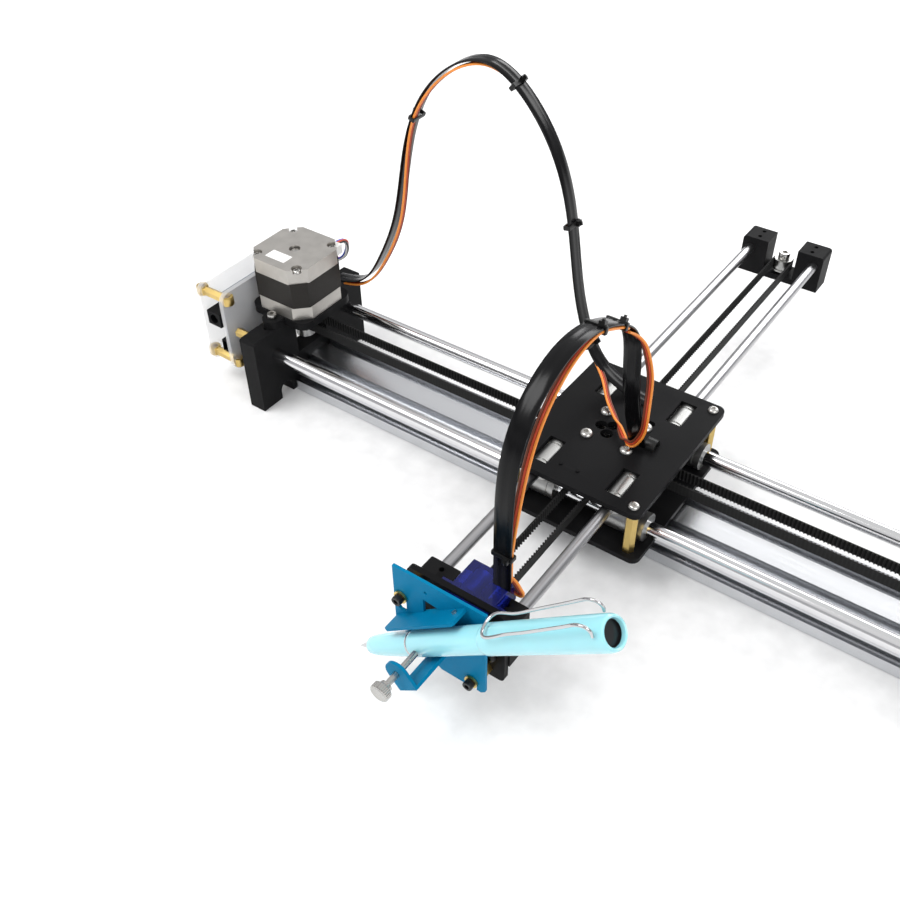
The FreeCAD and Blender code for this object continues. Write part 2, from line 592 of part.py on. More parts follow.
def make_arm():
    for name, side in SIDES:
        rod = cylinder("y", "y_rod_radius", "arm_front", "arm_rear", (f"{side} * y_rod_x", "y_rod_z"))
        node(f"y_rod_{name}", rod)
    rear = ("arm_rear - arm_block_deep", "arm_rear")
    front = ("arm_front", "arm_front + arm_block_deep")
    floor_hole = cylinder("z", "idler_bolt_radius", "arm_block_low", "rear_floor", (0, "rear_idler_y"))
    node("arm_block_rear", cut(make_arm_block(rear), floor_hole))
    recess = slab(("servo_left - 0.1", "servo_right + 0.1"), front, ("servo_low - 0.1", "arm_block_top"))
    ears = slab(("servo_left - ear_long - 0.2", "servo_right + ear_long + 0.2"),
                ("arm_front", "arm_front + ear_thick + 0.5"), ("servo_low - 0.1", "arm_block_top"))
    node("arm_block_front", cut(make_arm_block(front), recess, ears))
    bolt = screw(0, "rear_idler_y", "belt_top + flange_thick + 2", "+z", 15, "idler_bolt_radius",
                 3.6, 2.2, 2.5)
    spacers = []
    for low, high in (("rear_floor", "belt_low - flange_thick - running_gap"),
                      ("belt_top + flange_thick + running_gap", "belt_top + flange_thick + 2")):
        ring = cylinder("z", 3.2, low, high, (0, "rear_idler_y"))
        spacers.append(cut(ring, cylinder("z", "idler_bolt_radius", low, high, (0, "rear_idler_y"))))
    node("rear_idler_bolt", group([bolt, *spacers]))
    node("rear_idler", place(make_idler("idler_bolt_radius"), 0, "rear_idler_y"))
    node("belt_clamp", make_belt_clamp())


def make_arm_block(deep):
    body = slab(("-arm_block_half", "arm_block_half"), deep, ("arm_block_low", "arm_block_top"))
    top = size("arm_block_top")
    body = rounded(body, 2, lambda middle, along: abs(along.y) > 0.99 and middle.z > top - 1)
    tools = [slab(("-tower_gap_half", "tower_gap_half"), deep, ("rear_floor", "arm_block_top"))]
    for side in (-1, 1):
        tools.append(cylinder("y", "y_rod_radius", *deep, (f"{side} * y_rod_x", "y_rod_z")))
        for step in (0.27, 0.73):
            hole_y = f"{deep[0]} + {step} * arm_block_deep"
            at = (f"{side} * (y_rod_x - 3.5)", hole_y)
            tools.append(cylinder("z", 1.3, "y_rod_z", "arm_block_top", at))
    return cut(body, *tools)


def belt_run_x():
    """Inner and outer face of the belt's web where it runs along the arm."""
    return ("idler_radius + tooth_high + fit_gap", "idler_radius + tooth_high + belt_web + fit_gap")


def make_belt_clamp():
    """A bar between the front block's towers, with a slit for each end of the belt."""
    deep = ("arm_front", "arm_front + arm_block_deep - 1")
    bar = slab(("-tower_gap_half", "tower_gap_half"), deep, ("rear_floor", "belt_top + 3"))
    inner, outer = belt_run_x()
    slits = [slab(mirrored(side, inner, outer), ("arm_front + 3", "arm_front + arm_block_deep - 1"),
                  ("belt_low", "belt_top + 3")) for side in (-1, 1)]
    return cut(bar, *slits)


def make_belt():
    """The one belt: six straight runs round two pulleys, four carriage idlers and the rear idler."""
    height = size("belt_top") - size("belt_low")
    web = size("belt_web")
    gap = size("fit_gap")
    pulley = size("pulley_radius") + gap
    side_run = size("idler_radius") + size("tooth_high") + gap
    idler = size("idler_radius") + gap
    corner_x = side_run + web + idler
    corner_y = pulley + web + idler
    low = Vector(0, 0, size("belt_low"))
    front_end = size("arm_front") + 3.2
    pieces = []

    def run(x_low, x_high, y_low, y_high):
        pieces.append(Part.makeBox(x_high - x_low, y_high - y_low, height, Vector(x_low, y_low, low.z)))

    def wrap(x, y, radius, start, turn):
        ring = Part.makeCylinder(radius + web, height, Vector(0, 0, 0), Vector(0, 0, 1), turn)
        ring = ring.cut(Part.makeCylinder(radius, height))
        ring.Placement = Placement(Vector(x, y, low.z), Rotation(Vector(0, 0, 1), start))
        pieces.append(ring)

    for side in (-1, 1):
        pulley_x, idler_at = side * size("motor_x"), side * corner_x
        for front in (-1, 1):
            run_y = sorted((front * pulley, front * (pulley + web)))
            run(*sorted((pulley_x, idler_at)), *run_y)
            far_y = size("rear_idler_y") if front > 0 else front_end
            run(*sorted((side * side_run, side * (side_run + web))), *sorted((front * corner_y, far_y)))
            start = {(-1, -1): 0, (1, -1): 90, (1, 1): 180, (-1, 1): 270}[(side, front)]
            wrap(idler_at, front * corner_y, idler, start, 90)
        wrap(pulley_x, 0, pulley, 90 if side < 0 else -90, 180)
    wrap(0, size("rear_idler_y"), side_run, 0, 180)
    return shaped(pieces[0].multiFuse(pieces[1:]).removeSplitter())


# ---------------------------------------------------------------- pen lift

def make_head():
    plate = rounded(slab(("-head_half", "head_half"), ("arm_front - head_thick", "arm_front"),
                         ("head_low", "head_top")), 3, lambda middle, along: abs(along.y) > 0.99)
    window = slab(("servo_left - 0.1", "servo_right + 0.1"), ("arm_front - head_thick", "arm_front"),
                  ("servo_low - 0.1", "servo_top + 0.1"))
    front = "arm_front - head_thick"
    guides = (("guide_left_x", "guide_left_z"), ("guide_right_x", "guide_right_z"))
    ears = (("servo_left - 2.4", "servo_shaft_z"), ("servo_right + 2.4", "servo_shaft_z"))
    holes = [cylinder("y", 1.5, front, "arm_front", at) for at in guides]
    holes += [cylinder("y", 1, front, "arm_front", at) for at in ears]
    fixings = (("-arm_block_half + 8", 36), ("arm_block_half - 8", 36))
    holes += [cylinder("y", 1.5, front, "arm_front", at) for at in fixings]
    blocks = [cylinder("y", 1.5, "arm_front", "arm_front + 8", at) for at in fixings]
    node("arm_block_front", cut(relabel("arm_block_front"), *blocks))
    node("head_plate", cut(plate, window, *holes))
    make_servo()
    bushes, screws = [], []
    for x, z in guides:
        shoulder = "bracket_back + 0.1"
        post = hexagon(7, 0, f"{front} - bracket_back - 0.1")
        place(post, x, front, z, rotation=FLIPS["-y"])
        collar_back = "bracket_back - bracket_thick - 0.3"
        collar_front = f"{collar_back} - collar_thick"
        sleeve = cylinder("y", "guide_radius", collar_back, shoulder, (x, z))
        collar = cylinder("y", "collar_radius", collar_front, collar_back, (x, z))
        bore = cylinder("y", 1.5, collar_front, front, (x, z))
        bushes.append(cut(join(post, sleeve, collar), bore))
        screws.append(screw(x, collar_front, z, "-y", 14, 1.5, 2.4, 3, 2))
    for x, z in fixings:
        screws.append(screw(x, front, z, "-y", 10, 1.5, 2.8, 2, 2))
    for x, z in ears:
        screws.append(screw(x, front, z, "-y", 5.4, 1, 2, 1.4, 1.2))
    node("guide_bushes", group(bushes))
    node("head_screws", group(screws))
    make_bracket()


def relabel(name):
    """Frees a node's name, so that the next feature built on it can take it."""
    obj = nodes.pop(name)
    obj.Label = name + "_base"
    return obj


def make_servo():
    rear_face = "arm_front + ear_thick"
    upper = ("servo_low", "servo_top")
    case = slab(("servo_left", "servo_right"), ("servo_front", "servo_rear"), upper)
    case = rounded(case, 0.6, lambda middle, along: abs(along.y) > 0.99)
    ears = slab(("servo_left - ear_long", "servo_right + ear_long"), ("arm_front", rear_face), upper)
    holes = [cylinder("y", 1, "arm_front", rear_face, (x, "servo_shaft_z"))
             for x in ("servo_left - 2.4", "servo_right + 2.4")]
    tower = cylinder("y", 5.9, "gearbox_front", "servo_front", ("servo_shaft_x", "servo_shaft_z"))
    button = cylinder("y", 2.6, "gearbox_front", "servo_front", ("servo_shaft_x - 6.5", "servo_shaft_z"))
    node("servo_case", cut(join(case, ears, tower, button), *holes))
    make_horn()


def make_horn():
    """The output shaft with its one-armed horn, turned to the angle at which the lift pin rests."""
    hub = cylinder("y", 3.4, "horn_front", "gearbox_front - 0.1", (0, 0))
    arm = slab(("-horn_arm", 0), ("horn_front", "horn_back - 0.6"), ("-lift_pin_radius", "lift_pin_radius"))
    tip = cylinder("y", "lift_pin_radius", "horn_front", "horn_back - 0.6", ("-horn_arm", 0))
    holes = [cylinder("y", 0.6, "horn_front", "horn_back", (f"-{step}", 0)) for step in (6, 9, 12, 15)]
    horn = cut(join(hub, arm, tip), *holes)
    turn = Rotation(Vector(0, 1, 0), size("horn_rise"))
    node("servo_horn", place(horn, "servo_shaft_x", 0, "servo_shaft_z", rotation=turn))


def make_bracket():
    """Folded sheet: a back plate, a shelf over the pen, a web under it and a tab for the screw."""
    lean = Rotation(Vector(0, 1, 0), size("pen_lean"))
    back, thick = size("bracket_back"), size("bracket_thick")
    corners = ((-25.5, 76), (22.7, 76), (22.7, 24), (20.5, 22), (-1, 22), (-25.5, 41.5))
    outline = Part.makePolygon([Vector(x, back, z) for x, z in corners + corners[:1]])
    plate = shaped(Part.Face(outline).extrude(Vector(0, -thick, 0)))
    front = "bracket_back - bracket_thick"
    # the slots let the plate rise along its two guide bushes
    tools = []
    for x, z in (("guide_left_x", "guide_left_z"), ("guide_right_x", "guide_right_z")):
        bore = "(guide_radius + slot_gap)"
        tools.append(cylinder("y", bore, front, "bracket_back", (x, z)))
        tools.append(cylinder("y", bore, front, "bracket_back", (x, f"{z} - guide_travel")))
        across = (f"{x} - {bore}", f"{x} + {bore}")
        tools.append(slab(across, (front, "bracket_back"), (f"{z} - guide_travel", z)))
    corner = ((-9.5, 64.5), (-9.5, 55.5), (0.5, 63.5))
    window = Part.makePolygon([Vector(x, back, z) for x, z in corner + corner[:1]])
    tools.append(shaped(Part.Face(window).extrude(Vector(0, -thick, 0))))
    tools.append(cylinder("y", 0.9, front, "bracket_back", (-8, 69.5)))
    tools.append(cylinder("y", 1, front, "bracket_back", ("lift_pin_x", "lift_pin_z")))
    # folds, in a frame whose Z runs along the pen and whose X points to the pen's underside
    shelf = slab(("-shelf_above - bracket_thick", "-shelf_above"), (f"{front} - shelf_deep", "bracket_back"),
                 ("shelf_low", "shelf_top"))
    edge = back - thick
    shelf = rounded(shelf, 2, lambda middle, along: abs(along.x) > 0.99 and middle.y < edge)
    web = slab(("web_below", "web_below + bracket_thick"), ("tab_front", "bracket_back"),
               ("-tab_half", "tab_half"))
    tab_y = ("tab_front", "tab_front + bracket_thick")
    tab = slab((0, "web_below + bracket_thick"), tab_y, ("-tab_half", "tab_half"))
    tab_end = cylinder("y", "tab_half", *tab_y, (0, 0))
    folds = place(join(shelf, web, tab, tab_end), "clamp_x", 0, "clamp_z", rotation=lean)
    hole = cylinder("y", "screw_radius + running_gap", *tab_y, ("clamp_x", "clamp_z"))
    node("pen_bracket", cut(join(cut(plate, *tools), folds), hole))
    pin_at = ("lift_pin_x", "lift_pin_z")
    pin = join(cylinder("y", "lift_pin_radius", "bracket_back", "horn_back - 0.2", pin_at),
               cylinder("y", 1, "bracket_back - bracket_thick", "bracket_back", pin_at))
    rivet = cylinder("x", 1.2, "-shelf_above - bracket_thick - 0.8", "-shelf_above - bracket_thick",
                     (f"{front} - 2.7", "shelf_top - 4.5"))
    node("lift_pin", group([pin, place(group([rivet]), "clamp_x", 0, "clamp_z", rotation=lean)]))
    tip = "pen_y - barrel_radius - 0.35"
    shank = cylinder("y", "screw_radius", "knob_back", tip, ("clamp_x", "clamp_z"))
    collar = cylinder("y", 3, "knob_back", "knob_back + 2.2", ("clamp_x", "clamp_z"))
    knob = cylinder("y", "knob_radius", "knob_front", "knob_back", ("clamp_x", "clamp_z"))
    flutes = []
    for index in range(24):
        angle = 2 * math.pi * index / 24
        at = (f"clamp_x + knob_radius * {math.cos(angle):.5f}",
              f"clamp_z + knob_radius * {math.sin(angle):.5f}")
        flutes.append(cylinder("y", 0.35, "knob_front", "knob_back", at))
    node("thumb_screw", join(shank, collar, cut(knob, *flutes)))


def make_pen():
    """Pen pieces along their own Z from the nib's tip, then leaned into the clamp."""
    lean = Rotation(Vector(0, 1, 0), size("pen_lean"))
    clamp = Vector(size("clamp_x"), size("pen_y"), size("clamp_z"))
    tip = clamp - lean.multVec(Vector(0, 0, size("tip_below")))

    def leaned(name, obj):
        obj.Placement = Placement(tip, lean)
        node(name, obj)

    feed = cylinder("z", 2.2, "nib_long - 2", "nib_long", (0, 0))
    leaned("pen_nib", join(cone(0.35, 1.9, 0, "nib_long - 2"), feed))
    ring = cylinder("z", "barrel_radius - 0.1", "grip_end - 1.2", "grip_end", (0, 0))
    leaned("pen_grip", join(cone(3.4, 4.7, "nib_long", "nib_long + 3"), cone(4.7, "barrel_radius - 0.4",
           "nib_long + 3", "grip_end - 1.2"), ring))
    spigot = cylinder("z", "barrel_radius - 1.2", "cap_start", "cap_start + 30", (0, 0))
    leaned("pen_barrel", join(cylinder("z", "barrel_radius", "grip_end", "cap_start", (0, 0)), spigot))
    shell = cone("cap_radius", "cap_end_radius", "cap_start", "pen_long")
    doc.recompute()
    rim = size("pen_long")
    shell = rounded(shell, 1.6, lambda middle, along: middle.z > rim - 0.01)
    socket = cylinder("z", "barrel_radius - 1.2", "cap_start", "cap_start + 30", (0, 0))
    recess = cylinder("z", "cap_end_radius - 2", "pen_long - 6", "pen_long", (0, 0))
    leaned("pen_cap", cut(shell, socket, recess))
    leaned("pen_clip", make_clip())


def make_clip():
    """A bent wire loop standing off the cap, with both ends let into it near its end."""
    radius, half, height = size("clip_wire"), size("clip_half"), size("clip_rise")
    start, end = size("cap_start") - 1, size("pen_long") - 4
    path = [Vector(-4, half - 0.6, end), Vector(-height, half, end - 3),
            Vector(-height, half, start + half)]
    legs = []
    for sign in (1, -1):
        points = [Vector(p.x, sign * p.y, p.z) for p in path]
        for first, second in zip(points, points[1:]):
            legs.append(Part.makeCylinder(radius, (second - first).Length, first, second - first))
        legs.append(Part.makeSphere(radius, points[1]))
    loop = Part.makeTorus(half, radius, Vector(-height, 0, start + half), Vector(1, 0, 0))
    lower = Part.makeBox(4, 20, 20, Vector(-height - 2, -10, start + half - 20))
    wire = loop.common(lower).multiFuse(legs)
    wire.rotate(Vector(0, 0, 0), Vector(0, 0, 1), size("clip_turn"))
    cap = Part.makeCylinder(size("cap_end_radius") + 0.05, size("pen_long"))
    return shaped(wire.cut(cap))


# ---------------------------------------------------------------- standing strips and servo lead

def arch_curve(points):
    curve = Part.BSplineCurve()
    curve.interpolate([Vector(a, b, 0) for a, b in points])
    return curve


def along_curve(curve, fraction):
    return curve.FirstParameter + (curve.LastParameter - curve.FirstParameter) * fraction


def ribbon(points, thick, shift, reach):
    """A flat closed outline beside a smooth curve in a plane, over a reach of the curve's length."""
    curve = arch_curve(points)
    count = 4 * len(points)
    sides = []
    for offset in (shift - thick / 2, shift + thick / 2):
        line = []
        for step in range(count + 1):
            at = along_curve(curve, reach[0] + (reach[1] - reach[0]) * step / count)
            along = curve.tangent(at)[0]
            line.append(curve.value(at) + Vector(-along.y, along.x, 0) * offset)
        edge = Part.BSplineCurve()
        edge.interpolate(line)
        sides.append(edge.toShape())
    first, second = sides
    starts = [edge.valueAt(edge.FirstParameter) for edge in sides]
    ends = [edge.valueAt(edge.LastParameter) for edge in sides]
    wire = Part.Wire([first, Part.makeLine(ends[0], ends[1]), second, Part.makeLine(starts[1], starts[0])])
    return Part.Face(wire)


def stand(solid, plane, wide, inset=0):
    """Stands a solid drawn flat up in an arch's plane, an inset away from the strip's near edge."""
    if plane == "rear":
        turn = Rotation(Vector(1, 0, 0), Vector(0, 0, 1), Vector(0, -1, 0), "ZXY")
        solid.Placement = Placement(Vector(0, size("rear_strip_y") + wide, 0), turn)
    else:
        turn = Rotation(Vector(0, 1, 0), Vector(0, 0, 1), Vector(1, 0, 0), "ZXY")
        solid.Placement = Placement(Vector(size("front_strip_x") + inset, 0, 0), turn)
    return solid


def standing(points, thick, shift, wide, plane, reach=(0, 1), inset=0):
    return stand(ribbon(points, thick, shift, reach).extrude(Vector(0, 0, wide)), plane, wide, inset)


def make_tie(points, plane, fraction, side):
    """A closed band round a strip and the lead beside it."""
    curve = arch_curve(points)
    at = along_curve(curve, fraction)
    middle, along = curve.value(at), curve.tangent(at)[0]
    band, width, length = size("tie_thick"), size("strip_wide") + 0.1, size("tie_wide")
    low, high = -size("strip_thick") / 2 - 0.1, size("strip_thick") / 2 + 0.1
    lead = size("lead_gap") + size("lead_thick")
    if side < 0:
        low -= lead
    else:
        high += lead
    outer = Part.makeBox(length, high - low + 2 * band, width + 2 * band,
                         Vector(-length / 2, low - band, -band))
    inner = Part.makeBox(length, high - low, width, Vector(-length / 2, low, 0))
    lock_long, lock_high = size("lock_long"), size("lock_high")
    lock_low = high + band if side < 0 else low - band - lock_high
    lock = Part.makeBox(lock_long, lock_high, lock_long,
                        Vector(-lock_long / 2, lock_low, (width - lock_long) / 2))
    ring = outer.cut(inner).fuse(lock)
    ring.Placement = Placement(middle, Rotation(Vector(0, 0, 1), math.degrees(math.atan2(along.y, along.x))))
    return stand(Part.makeCompound([ring]), plane, width)


def tube(points, radius):
    """A round cord along straight runs joined by tangent arcs, each as large as its runs allow."""
    corners = [Vector(*point) for point in points]
    edges, start, radii = [], corners[0], []
    for before, corner, after in zip(corners, corners[1:], corners[2:]):
        inward, outward = (before - corner), (after - corner)
        half_turn = (math.pi - inward.getAngle(outward)) / 2
        setback = 0.45 * min(inward.Length, outward.Length)
        radii.append(setback / math.tan(half_turn))
        first = corner + inward.normalize() * setback
        last = corner + outward.normalize() * setback
        bisector = (inward + outward).normalize()
        centre = corner + bisector * (setback / math.sin(half_turn))
        middle = centre - bisector * radii[-1]
        edges += [Part.makeLine(start, first), Part.Arc(first, middle, last).toShape()]
        start = last
    edges.append(Part.makeLine(start, corners[-1]))
    path = Part.Wire(edges)
    profile = Part.Wire(Part.makeCircle(radius, corners[0], corners[1] - corners[0]))
    print("bend radii", [round(value, 1) for value in radii], "length", round(path.Length, 1))
    return path.makePipeShell([profile], True, True)


def make_arches():
    strip, wide = size("strip_thick"), size("strip_wide")
    node("rear_strip", shaped(standing(REAR_ARCH, strip, 0, wide, "rear")))
    node("front_strip", shaped(standing(FRONT_ARCH, strip, 0, wide, "front")))
    beside = strip / 2 + size("lead_gap") + size("lead_thick") / 2
    thick, width = size("lead_thick"), size("lead_wide")
    lead = [standing(REAR_ARCH, thick, -beside, width, "rear", REAR_LEAD),
            standing(FRONT_ARCH, thick, beside, width, "front", FRONT_LEAD, wide - width),
            tube(LEAD_CROSSING, size("lead_radius"))]
    node("servo_lead", shaped(Part.makeCompound(lead)))
    ties = [make_tie(REAR_ARCH, "rear", fraction, -1) for fraction in REAR_TIES]
    ties += [make_tie(FRONT_ARCH, "front", fraction, 1) for fraction in FRONT_TIES]
    node("lead_ties", shaped(Part.makeCompound(ties)))


def write_nodes():
    doc.recompute()
    for obj in doc.Objects:
        if "Invalid" in obj.State or "Error" in obj.State:
            raise SystemExit(f"{obj.Name} ({obj.Label}) failed: {obj.State}")
    os.makedirs("parts", exist_ok=True)
    for name, obj in nodes.items():
        shape = obj.Shape
        if shape.isNull() or not shape.isValid() or not shape.Solids:
            raise SystemExit(f"{name} has no valid solid")
        shape.exportStep(f"parts/{name}.step")
        box = shape.BoundBox
        limits = " ".join(f"{value:7.1f}" for value in
                          (box.XMin, box.XMax, box.YMin, box.YMax, box.ZMin, box.ZMax))
        print(f"{name:22s} {len(shape.Solids):3d} solids {shape.Volume:10.1f} mm3  {limits}")
    print(len(nodes), "nodes")


make_beam()
frame_screws = make_block_screws() + make_motors() + make_controller()
node("frame_screws", group(frame_screws))
make_carriage()
make_arm()
make_head()
make_pen()
node("drive_belt", make_belt())
make_arches()
write_nodes()
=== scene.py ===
import json
import math

import bmesh
import bpy
import numpy as np
from mathutils import Matrix, Vector


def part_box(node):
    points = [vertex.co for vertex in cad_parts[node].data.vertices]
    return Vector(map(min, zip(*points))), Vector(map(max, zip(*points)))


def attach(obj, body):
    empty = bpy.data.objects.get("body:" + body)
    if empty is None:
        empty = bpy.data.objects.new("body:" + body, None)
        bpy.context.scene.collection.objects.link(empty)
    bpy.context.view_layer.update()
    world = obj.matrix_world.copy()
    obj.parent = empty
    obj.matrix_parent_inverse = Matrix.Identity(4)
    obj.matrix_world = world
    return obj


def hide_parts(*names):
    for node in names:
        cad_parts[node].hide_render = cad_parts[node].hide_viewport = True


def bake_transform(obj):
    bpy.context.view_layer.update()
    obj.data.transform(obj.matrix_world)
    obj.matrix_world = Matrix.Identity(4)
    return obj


MM = 0.001
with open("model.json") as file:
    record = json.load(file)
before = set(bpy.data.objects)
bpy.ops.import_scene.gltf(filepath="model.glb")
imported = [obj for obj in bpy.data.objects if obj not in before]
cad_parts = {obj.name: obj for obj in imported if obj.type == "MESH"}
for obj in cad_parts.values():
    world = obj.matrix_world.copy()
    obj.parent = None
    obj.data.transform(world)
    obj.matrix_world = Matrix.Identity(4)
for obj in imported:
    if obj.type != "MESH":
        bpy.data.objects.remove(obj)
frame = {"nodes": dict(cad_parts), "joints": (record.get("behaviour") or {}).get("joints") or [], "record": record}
nodes = frame["nodes"]
joints = {joint["name"]: joint for joint in frame["joints"]}
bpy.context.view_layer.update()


# ---------------------------------------------------------------- camera, light and stage

def make_camera():
    """Stands in front of the arm's pen end, to the right, looking down at the carriage."""
    right = Vector((0.80844, 0.58827, -0.01856))
    up = Vector((-0.3846, 0.55183, 0.73996))
    back = Vector((0.44556, -0.59105, 0.67239))
    place = Vector((0.1682, -0.365, 0.402))
    data = bpy.data.cameras.new("camera")
    data.sensor_width, data.lens = 36.0, 40.87
    data.clip_start, data.clip_end = 0.01, 20
    camera = bpy.data.objects.new("camera", data)
    turn = Matrix((right, up, back)).transposed().to_4x4()
    camera.matrix_world = Matrix.Translation(place) @ turn
    bpy.context.scene.collection.objects.link(camera)
    bpy.context.scene.camera = camera


def make_light(name, place, target, width, power, color=(1, 1, 1)):
    data = bpy.data.lights.new(name, "AREA")
    data.shape, data.size, data.size_y = "RECTANGLE", width[0], width[1]
    data.energy, data.color = power, color
    light = bpy.data.objects.new(name, data)
    light.location = place
    light.rotation_mode = "QUATERNION"
    light.rotation_quaternion = (Vector(target) - Vector(place)).to_track_quat("-Z", "Y")
    bpy.context.scene.collection.objects.link(light)


def make_stage():
    floor = mesh_piece("floor", [(-6, -6, 0), (6, -6, 0), (6, 6, 0), (-6, 6, 0)], [(0, 1, 2, 3)],
                       surface("floor_paint", (0.93, 0.93, 0.93), rough=0.6, bump=0.0))
    floor.location.z = -0.0004
    make_light("key", (-0.7, -0.7, 1.5), (0, 0, 0.05), (0.9, 0.9), 17)
    make_light("fill", (1.3, -0.6, 1.0), (0, 0, 0.05), (1.2, 0.8), 9)
    make_light("rim", (0.1, 1.4, 0.9), (0, 0, 0.05), (1.6, 0.5), 13)
    world = bpy.data.worlds.new("studio")
    bpy.context.scene.world = world
    world.use_nodes = True
    tree = world.node_tree
    shade = tree.nodes["Background"]
    where = tree.nodes.new("ShaderNodeTexCoord")
    split = tree.nodes.new("ShaderNodeSeparateXYZ")
    ramp = tree.nodes.new("ShaderNodeValToRGB")
    stops = ramp.color_ramp
    stops.elements[0].position, stops.elements[0].color = 0.0, (0.26, 0.26, 0.27, 1)
    stops.elements[1].position, stops.elements[1].color = 0.75, (1, 1, 1, 1)
    for position, level in ((0.1, 0.5), (0.22, 0.9), (0.4, 0.3), (0.5, 0.9)):
        stops.elements.new(position).color = (level, level, level * 1.02, 1)
    tree.links.new(where.outputs["Generated"], split.inputs[0])
    tree.links.new(split.outputs["Z"], ramp.inputs[0])
    tree.links.new(ramp.outputs[0], shade.inputs["Color"])
    shade.inputs["Strength"].default_value = 0.85
    bpy.context.scene.view_settings.view_transform = "Standard"


# ---------------------------------------------------------------- materials

def surface(name, color, metallic=0.0, rough=0.4, vary=0.12, scale=90.0, stretch=(1, 1, 1), bump=0.05,
            bump_scale=900.0, shade=0.82, edge=0.0, **sockets):
    """A material whose colour, roughness and relief vary with noise; edge paints a highlight on its sharp edges.
    """
    mat = bpy.data.materials.new(name)
    mat.use_nodes = True
    tree = mat.node_tree
    new, link = tree.nodes.new, tree.links.new
    bsdf = tree.nodes["Principled BSDF"]
    where = new("ShaderNodeTexCoord")
    mapping = new("ShaderNodeMapping")
    mapping.inputs["Scale"].default_value = stretch
    link(where.outputs["Object"], mapping.inputs["Vector"])
    cloud = new("ShaderNodeTexNoise")
    cloud.inputs["Scale"].default_value = scale
    cloud.inputs["Detail"].default_value = 6
    link(mapping.outputs[0], cloud.inputs["Vector"])
    tint = new("ShaderNodeMix")
    tint.data_type = "RGBA"
    link(cloud.outputs["Fac"], tint.inputs["Factor"])
    tint.inputs["A"].default_value = (*[c * shade for c in color[:3]], 1)
    tint.inputs["B"].default_value = (*[min(1, c / (shade + (1 - shade) * 0.35)) for c in color[:3]], 1)
    last = tint.outputs["Result"]
    # painted highlight: sharp convex edges, found by pointiness, are lightened by edge as if they caught the light
    if edge > 0:
        near = new("ShaderNodeNewGeometry")
        edge_highlight_ramp = new("ShaderNodeValToRGB")
        edge_highlight_ramp.color_ramp.elements[0].position = 0.52
        edge_highlight_ramp.color_ramp.elements[1].position = 0.62
        link(near.outputs["Pointiness"], edge_highlight_ramp.inputs[0])
        edge_highlight_mix = new("ShaderNodeMix")
        edge_highlight_mix.data_type = "RGBA"
        link(edge_highlight_ramp.outputs[0], edge_highlight_mix.inputs["Factor"])
        link(last, edge_highlight_mix.inputs["A"])
        edge_highlight_mix.inputs["B"].default_value = (*[min(1, c + edge) for c in color[:3]], 1)
        last = edge_highlight_mix.outputs["Result"]
    link(last, bsdf.inputs["Base Color"])
    level = new("ShaderNodeMapRange")
    level.inputs["To Min"].default_value = max(0.02, rough - vary / 2)
    level.inputs["To Max"].default_value = min(1, rough + vary / 2)
    link(cloud.outputs["Fac"], level.inputs["Value"])
    link(level.outputs[0], bsdf.inputs["Roughness"])
    if bump > 0:
        grain = new("ShaderNodeTexNoise")
        grain.inputs["Scale"].default_value = bump_scale
        grain.inputs["Detail"].default_value = 3
        relief = new("ShaderNodeBump")
        relief.inputs["Strength"].default_value = bump
        relief.inputs["Distance"].default_value = 0.0003
        link(mapping.outputs[0], grain.inputs["Vector"])
        link(grain.outputs["Fac"], relief.inputs["Height"])
        link(relief.outputs[0], bsdf.inputs["Normal"])
    bsdf.inputs["Metallic"].default_value = metallic
    for socket, value in sockets.items():
        bsdf.inputs[socket.replace("_", " ")].default_value = value
    return mat


def banded(name, color, dark, period, **options):
    """A surface with fine level lines, as on a stack of laminations or a threaded shank."""
    mat = surface(name, color, **options)
    tree = mat.node_tree
    new, link = tree.nodes.new, tree.links.new
    where = new("ShaderNodeTexCoord")
    lines = new("ShaderNodeTexWave")
    lines.bands_direction = "Z"
    lines.inputs["Scale"].default_value = math.pi / (10 * period)
    lines.inputs["Distortion"].default_value = 0.3
    link(where.outputs["Object"], lines.inputs["Vector"])
    tint = new("ShaderNodeMix")
    tint.data_type = "RGBA"
    link(lines.outputs["Fac"], tint.inputs["Factor"])
    bsdf = tree.nodes["Principled BSDF"]
    link(bsdf.inputs["Base Color"].links[0].from_socket, tint.inputs["B"])
    tint.inputs["A"].default_value = (*dark, 1)
    link(tint.outputs["Result"], bsdf.inputs["Base Color"])
    return mat


